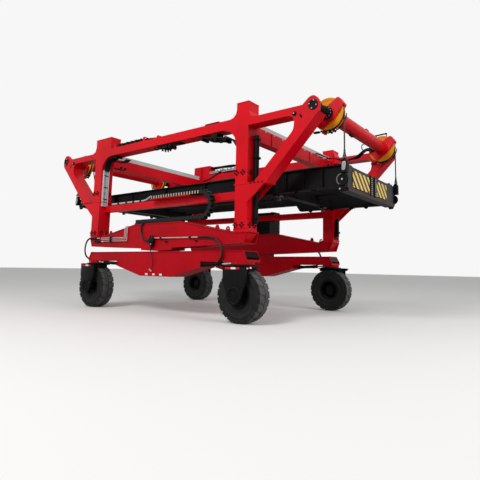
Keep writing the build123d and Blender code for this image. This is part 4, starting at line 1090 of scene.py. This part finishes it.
plates, worn, rungs, fittings = bmesh.new(), bmesh.new(), bmesh.new(), bmesh.new()
plate_face, column_face, frame_top = 4.8223, 4.8463, 3.360
for end, foot in ((1, 2.877), (-1, 3.120)):
    x = end * plate_face
    for y0, y1 in ((-1.180, -0.230), (0.210, 0.890)):
        block(plates, (x, y0 + 0.004, foot + 0.049), (x + end * 0.003, y1 - 0.004, frame_top - 0.074))
        for y in (y0 + 0.035, y1 - 0.035):
            for z in (foot + 0.08, frame_top - 0.105):
                bolt(fittings, (x + end * 0.003, y, z), (end, 0, 0), 0.018, 0.008)
    drop = 0.065 if end > 0 else 0.020
    block(worn, (x, -1.380, foot - drop + 0.004), (x + end * 0.002, 1.380, foot - 0.004))
    for y in (-0.150, 0.090):
        count = int((frame_top - foot - 0.04) / 0.046)
        for k in range(count):
            z = foot + 0.04 + k * 0.046
            block(rungs, (end * column_face, y - 0.024, z - 0.008),
                  (end * (column_face + 0.006), y + 0.024, z + 0.008), 0.002)
    for side in (-1, 1):
        block(fittings, (end * 4.8103, side * 1.475, foot + 0.01),
              (end * 4.8150, side * 1.445, frame_top - 0.01), 0.001)
        for y, tall in ((1.40, 0.050), (1.27, 0.065), (1.15, 0.040)):
            rod(fittings, (end * 4.755, side * y, frame_top), (end * 4.755, side * y, frame_top + tall),
                0.030, 18)
            block(fittings, (end * 4.700, side * y - 0.03, frame_top),
                  (end * 4.80, side * y + 0.03, frame_top + 0.020), 0.004)
piece("hazard_plates", plates, striped, "spreader")
piece("end_flange_wear", worn, worn_brown, "spreader")
piece("column_rungs", rungs, light_grey, "spreader")


# Corner rollers and clips of the lifting frame. A grooved black roller turns on a pale hub beside
# each corner post, with a grey arc on its rim that is a painted highlight, and small lugs line the
# lower flanges. At the rear the first and the last lug on each side hang below the flange, which is shorter
# there.
rollers, hubs, rim_highlight_arcs = bmesh.new(), bmesh.new(), bmesh.new()
frame_side = 1.536
rim_highlight_grey = enamel("rim_highlight_grey", (0.16, 0.16, 0.16, 1), 0.4)
for end in (-1, 1):
    for side in (-1, 1):
        spot = (end * 4.763, 0, 3.030) if end > 0 else (end * 4.600, 0, 3.235)
        turned(rollers, [(r, side * (frame_side + d)) for r, d in
                         ((0.0, 0.001), (0.120, 0.001), (0.126, 0.007), (0.120, 0.014), (0.106, 0.020),
                          (0.120, 0.027),
                          (0.126, 0.034), (0.120, 0.041), (0.082, 0.038), (0.074, 0.030), (0.034, 0.030),
                          (0.030, 0.046), (0.0, 0.046))], spot, steps=40, closed=False)
        rod(hubs, (spot[0], side * (frame_side + 0.044), spot[2]),
            (spot[0], side * (frame_side + 0.054), spot[2]), 0.020, 20)
        # A grey arc in front of each roller's rim: a painted highlight on the black roller.
        sweep = [math.radians(100 + 140 * k / 12) for k in range(13)]
        arc = [(spot[0] + end * r * math.cos(a), spot[2] + r * math.sin(a))
               for r, turn in ((0.128, sweep), (0.108, sweep[::-1])) for a in turn]
        slab(rim_highlight_arcs, arc, 0.030, facing_y(side * (frame_side + 0.036)))
        if end > 0:
            turned(rollers, [(r, side * (frame_side + d)) for r, d in
                             ((0.0, 0.0), (0.052, 0.0), (0.052, 0.022), (0.044, 0.028), (0.0, 0.028))],
                   (4.705, 0, 2.835), steps=28, closed=False)
            rod(hubs, (4.705, side * (frame_side + 0.026), 2.835),
                (4.705, side * (frame_side + 0.034), 2.835), 0.018, 16)
        rod(rollers, (end * 4.42, side * (frame_side - 0.03), frame_top),
            (end * 4.42, side * (frame_side - 0.03), frame_top + 0.04),
            0.028, 16)
        for x in (2.35, 3.05, 3.62, 4.05):
            block(rollers, (end * x - 0.045, side * (frame_side - 0.100), 2.842),
                  (end * x + 0.045, side * (frame_side - 0.030), 2.878), 0.008)
            rod(fittings, (end * x, side * (frame_side - 0.065), 2.826),
                (end * x, side * (frame_side - 0.065), 2.842), 0.018, 12)
piece("corner_rollers", rollers, black_enamel, "spreader")
piece("corner_roller_hubs", hubs, zinc, "spreader")
piece("corner_roller_rim_highlights", rim_highlight_arcs, rim_highlight_grey, "spreader")
piece("frame_fittings", fittings, black_enamel, "spreader")


# Rope sockets. Dark cast sleeves hold the rope ends, and each hangs on a pin between two small
# plates. A pale strap is bolted to the face of the frame's lug below.
socket_grey = painted("socket_grey", (0.40, 0.39, 0.38, 1), (0.26, 0.25, 0.24, 1), 0.4, 0.1, 0.6)
sleeve_dark = painted("sleeve_dark", (0.035, 0.034, 0.033, 1), (0.070, 0.066, 0.060, 1), 0.45, 0.1, 0.6)
socket_foot, lug_face = 3.510, 1.619
pin_z, strap_bolt_z = 3.478, 3.345
sockets, straps, pins = bmesh.new(), bmesh.new(), bmesh.new()
for end in (-1, 1):
    for side in (-1, 1):
        centre = (end * rope_x, side * rope_y, 0)
        turned(sockets, [(0.0, rope_foot - 0.001), (0.017, rope_foot - 0.001), (0.020, rope_foot - 0.012),
                         (0.020, 3.590), (0.027, 3.545), (0.029, 3.530), (0.029, socket_foot - 0.006),
                         (0.022, socket_foot - 0.014), (0.0, socket_foot - 0.014)],
               centre, (0, 0, 1), 32, closed=False)
        for shift in (-0.036, 0.036):
            cheek = [(end * rope_x + dx, z)
                     for dx, z in ((-0.020, 3.525), (0.020, 3.525), (0.026, 3.490),
                                   (0.026, 3.452), (-0.026, 3.452), (-0.026, 3.490))]
            slab(sockets, cheek, 0.012, facing_y(side * rope_y + shift), 0.002)
        rod(pins, (end * rope_x, side * rope_y - 0.050, pin_z), (end * rope_x, side * rope_y + 0.050, pin_z),
            0.014, 18)
        for shift in (-0.046, 0.046):
            rod(pins, (end * rope_x, side * rope_y + shift - 0.004, pin_z),
                (end * rope_x, side * rope_y + shift + 0.004, pin_z),
                0.020, 6)
        strap = [(end * rope_x + dx, z)
                 for dx, z in ((-0.034, 3.385), (0.030, 3.385), (0.040, 3.330), (0.022, 3.215),
                               (-0.014, 3.195), (-0.050, 3.215), (-0.046, 3.330))]
        slab(straps, strap, 0.022, facing_y(side * (lug_face + 0.011)), 0.004)
        rod(pins, (end * rope_x - 0.004, side * (lug_face + 0.020), strap_bolt_z),
            (end * rope_x - 0.004, side * (lug_face + 0.034), strap_bolt_z),
            0.022, 6)
piece("rope_sleeves", sockets, sleeve_dark, "spreader", ["rope_sockets"])
piece("lug_straps", straps, socket_grey, "spreader")
piece("socket_pins", pins, zinc, "spreader")


# Twistlocks. Cast housings under the cross members, with bright worn locking heads on their shanks
# and a lever arm each.
lock_steel = painted("lock_steel", (0.13, 0.12, 0.115, 1), (0.09, 0.075, 0.065, 1), 0.45, 0.1, 0.9)
dress(lock_steel, "twistlocks")
lock_x, lock_y, lock_z = 2.9265, 1.1295, 2.905
levers = bmesh.new()
for end in (-1, 1):
    for side in (-1, 1):
        at = Vector((end * lock_x, side * lock_y, lock_z))
        rod(levers, at - Vector((0, side * 0.081, 0)), at - Vector((0, side * 0.110, 0)), 0.040, 20)
        block(levers, at + Vector((-0.018, -side * 0.096, -0.016)),
              at + Vector((0.018, -side * 0.330, 0.016)), 0.004)
        bolts(levers, [at + Vector((x, side * 0.080, z)) for x in (-0.055, 0.055) for z in (-0.02, 0.0)],
              (0, side, 0), 0.02, 0.012)
piece("lock_levers", levers, black_enamel, "spreader")


# Floor, light and camera. A pale floor, soft light from the near side with a fill from the front,
# and the photograph's view.
def stage_floor():
    # The plain ground. The camera sees it pale, and it throws less light on the undersides.
    bm = bmesh.new()
    bmesh.ops.create_grid(bm, x_segments=1, y_segments=1, size=120.0)
    mesh = bpy.data.meshes.new("floor")
    bm.to_mesh(mesh)
    bm.free()
    floor = bpy.data.objects.new("floor", mesh)
    bpy.context.scene.collection.objects.link(floor)
    finish = Finish("pale_floor")
    seen = finish.node("LightPath", {}, {}, "Is Camera Ray")
    finish.give(Base_Color=finish.over((0.40, 0.40, 0.39, 1), (0.74, 0.74, 0.73, 1), seen), Roughness=0.9)
    mesh.materials.append(finish.material)


stage_floor()

world = bpy.data.worlds.new("studio")
bpy.context.scene.world = world
world.use_nodes = True
tree = world.node_tree
room_light, backdrop = tree.nodes["Background"], tree.nodes.new("ShaderNodeBackground")
room_light.inputs["Strength"].default_value = 0.50
backdrop.inputs["Strength"].default_value = 0.93
seen, ray = tree.nodes.new("ShaderNodeMath"), tree.nodes.new("ShaderNodeLightPath")
seen.operation = "MAXIMUM"
glass = tree.nodes.new("ShaderNodeMath")
glass.operation = "MAXIMUM"
tree.links.new(ray.outputs["Is Camera Ray"], seen.inputs[0])
tree.links.new(ray.outputs["Is Glossy Ray"], seen.inputs[1])
tree.links.new(seen.outputs[0], glass.inputs[0])
tree.links.new(ray.outputs["Is Transmission Ray"], glass.inputs[1])
choice = tree.nodes.new("ShaderNodeMixShader")
for source, socket in ((glass.outputs[0], 0), (room_light.outputs[0], 1), (backdrop.outputs[0], 2)):
    tree.links.new(source, choice.inputs[socket])
tree.links.new(choice.outputs[0], tree.nodes["World Output"].inputs["Surface"])
for shade in (room_light, backdrop):
    shade.inputs["Color"].default_value = (1.0, 1.0, 1.0, 1)


def lamp(name, place, aim, size, power):
    # A round soft lamp turned towards a point
    light = bpy.data.lights.new(name, "AREA")
    light.shape = "DISK"
    light.size = size
    light.energy = power
    holder = bpy.data.objects.new(name, light)
    holder.location = place
    holder.rotation_euler = (Vector(aim) - Vector(place)).to_track_quat("-Z", "Y").to_euler()
    bpy.context.scene.collection.objects.link(holder)


lamp("key", (2.0, -16.0, 13.0), (0, 0, 2.0), 6.0, 2000)
lamp("front_fill", (18.0, -2.0, 9.0), (0, 0, 2.0), 8.0, 1250)

eye = (8.487, -9.667, 1.1828)
yaw, pitch, roll = 2.2088, 0.1319, 0.0195
focal, centre_x, centre_y = 432.8083, 252.4578, 210.599
frame_width = 480
ahead = Vector((math.cos(pitch) * math.cos(yaw), math.cos(pitch) * math.sin(yaw), math.sin(pitch)))
level = Vector((math.sin(yaw), -math.cos(yaw), 0))
rise = level.cross(ahead)
right = level * math.cos(roll) + rise * math.sin(roll)
up = rise * math.cos(roll) - level * math.sin(roll)
lens = bpy.data.cameras.new("camera")
lens.sensor_width = 36.0
lens.lens = focal / frame_width * lens.sensor_width
lens.shift_x = (frame_width / 2 - centre_x) / frame_width
lens.shift_y = (centre_y - frame_width / 2) / frame_width
camera = bpy.data.objects.new("camera", lens)
camera.matrix_world = Matrix.Translation(eye) @ Matrix((right, up, -ahead)).transposed().to_4x4()
bpy.context.scene.collection.objects.link(camera)
bpy.context.scene.camera = camera
bpy.context.scene.view_settings.view_transform = "Standard"
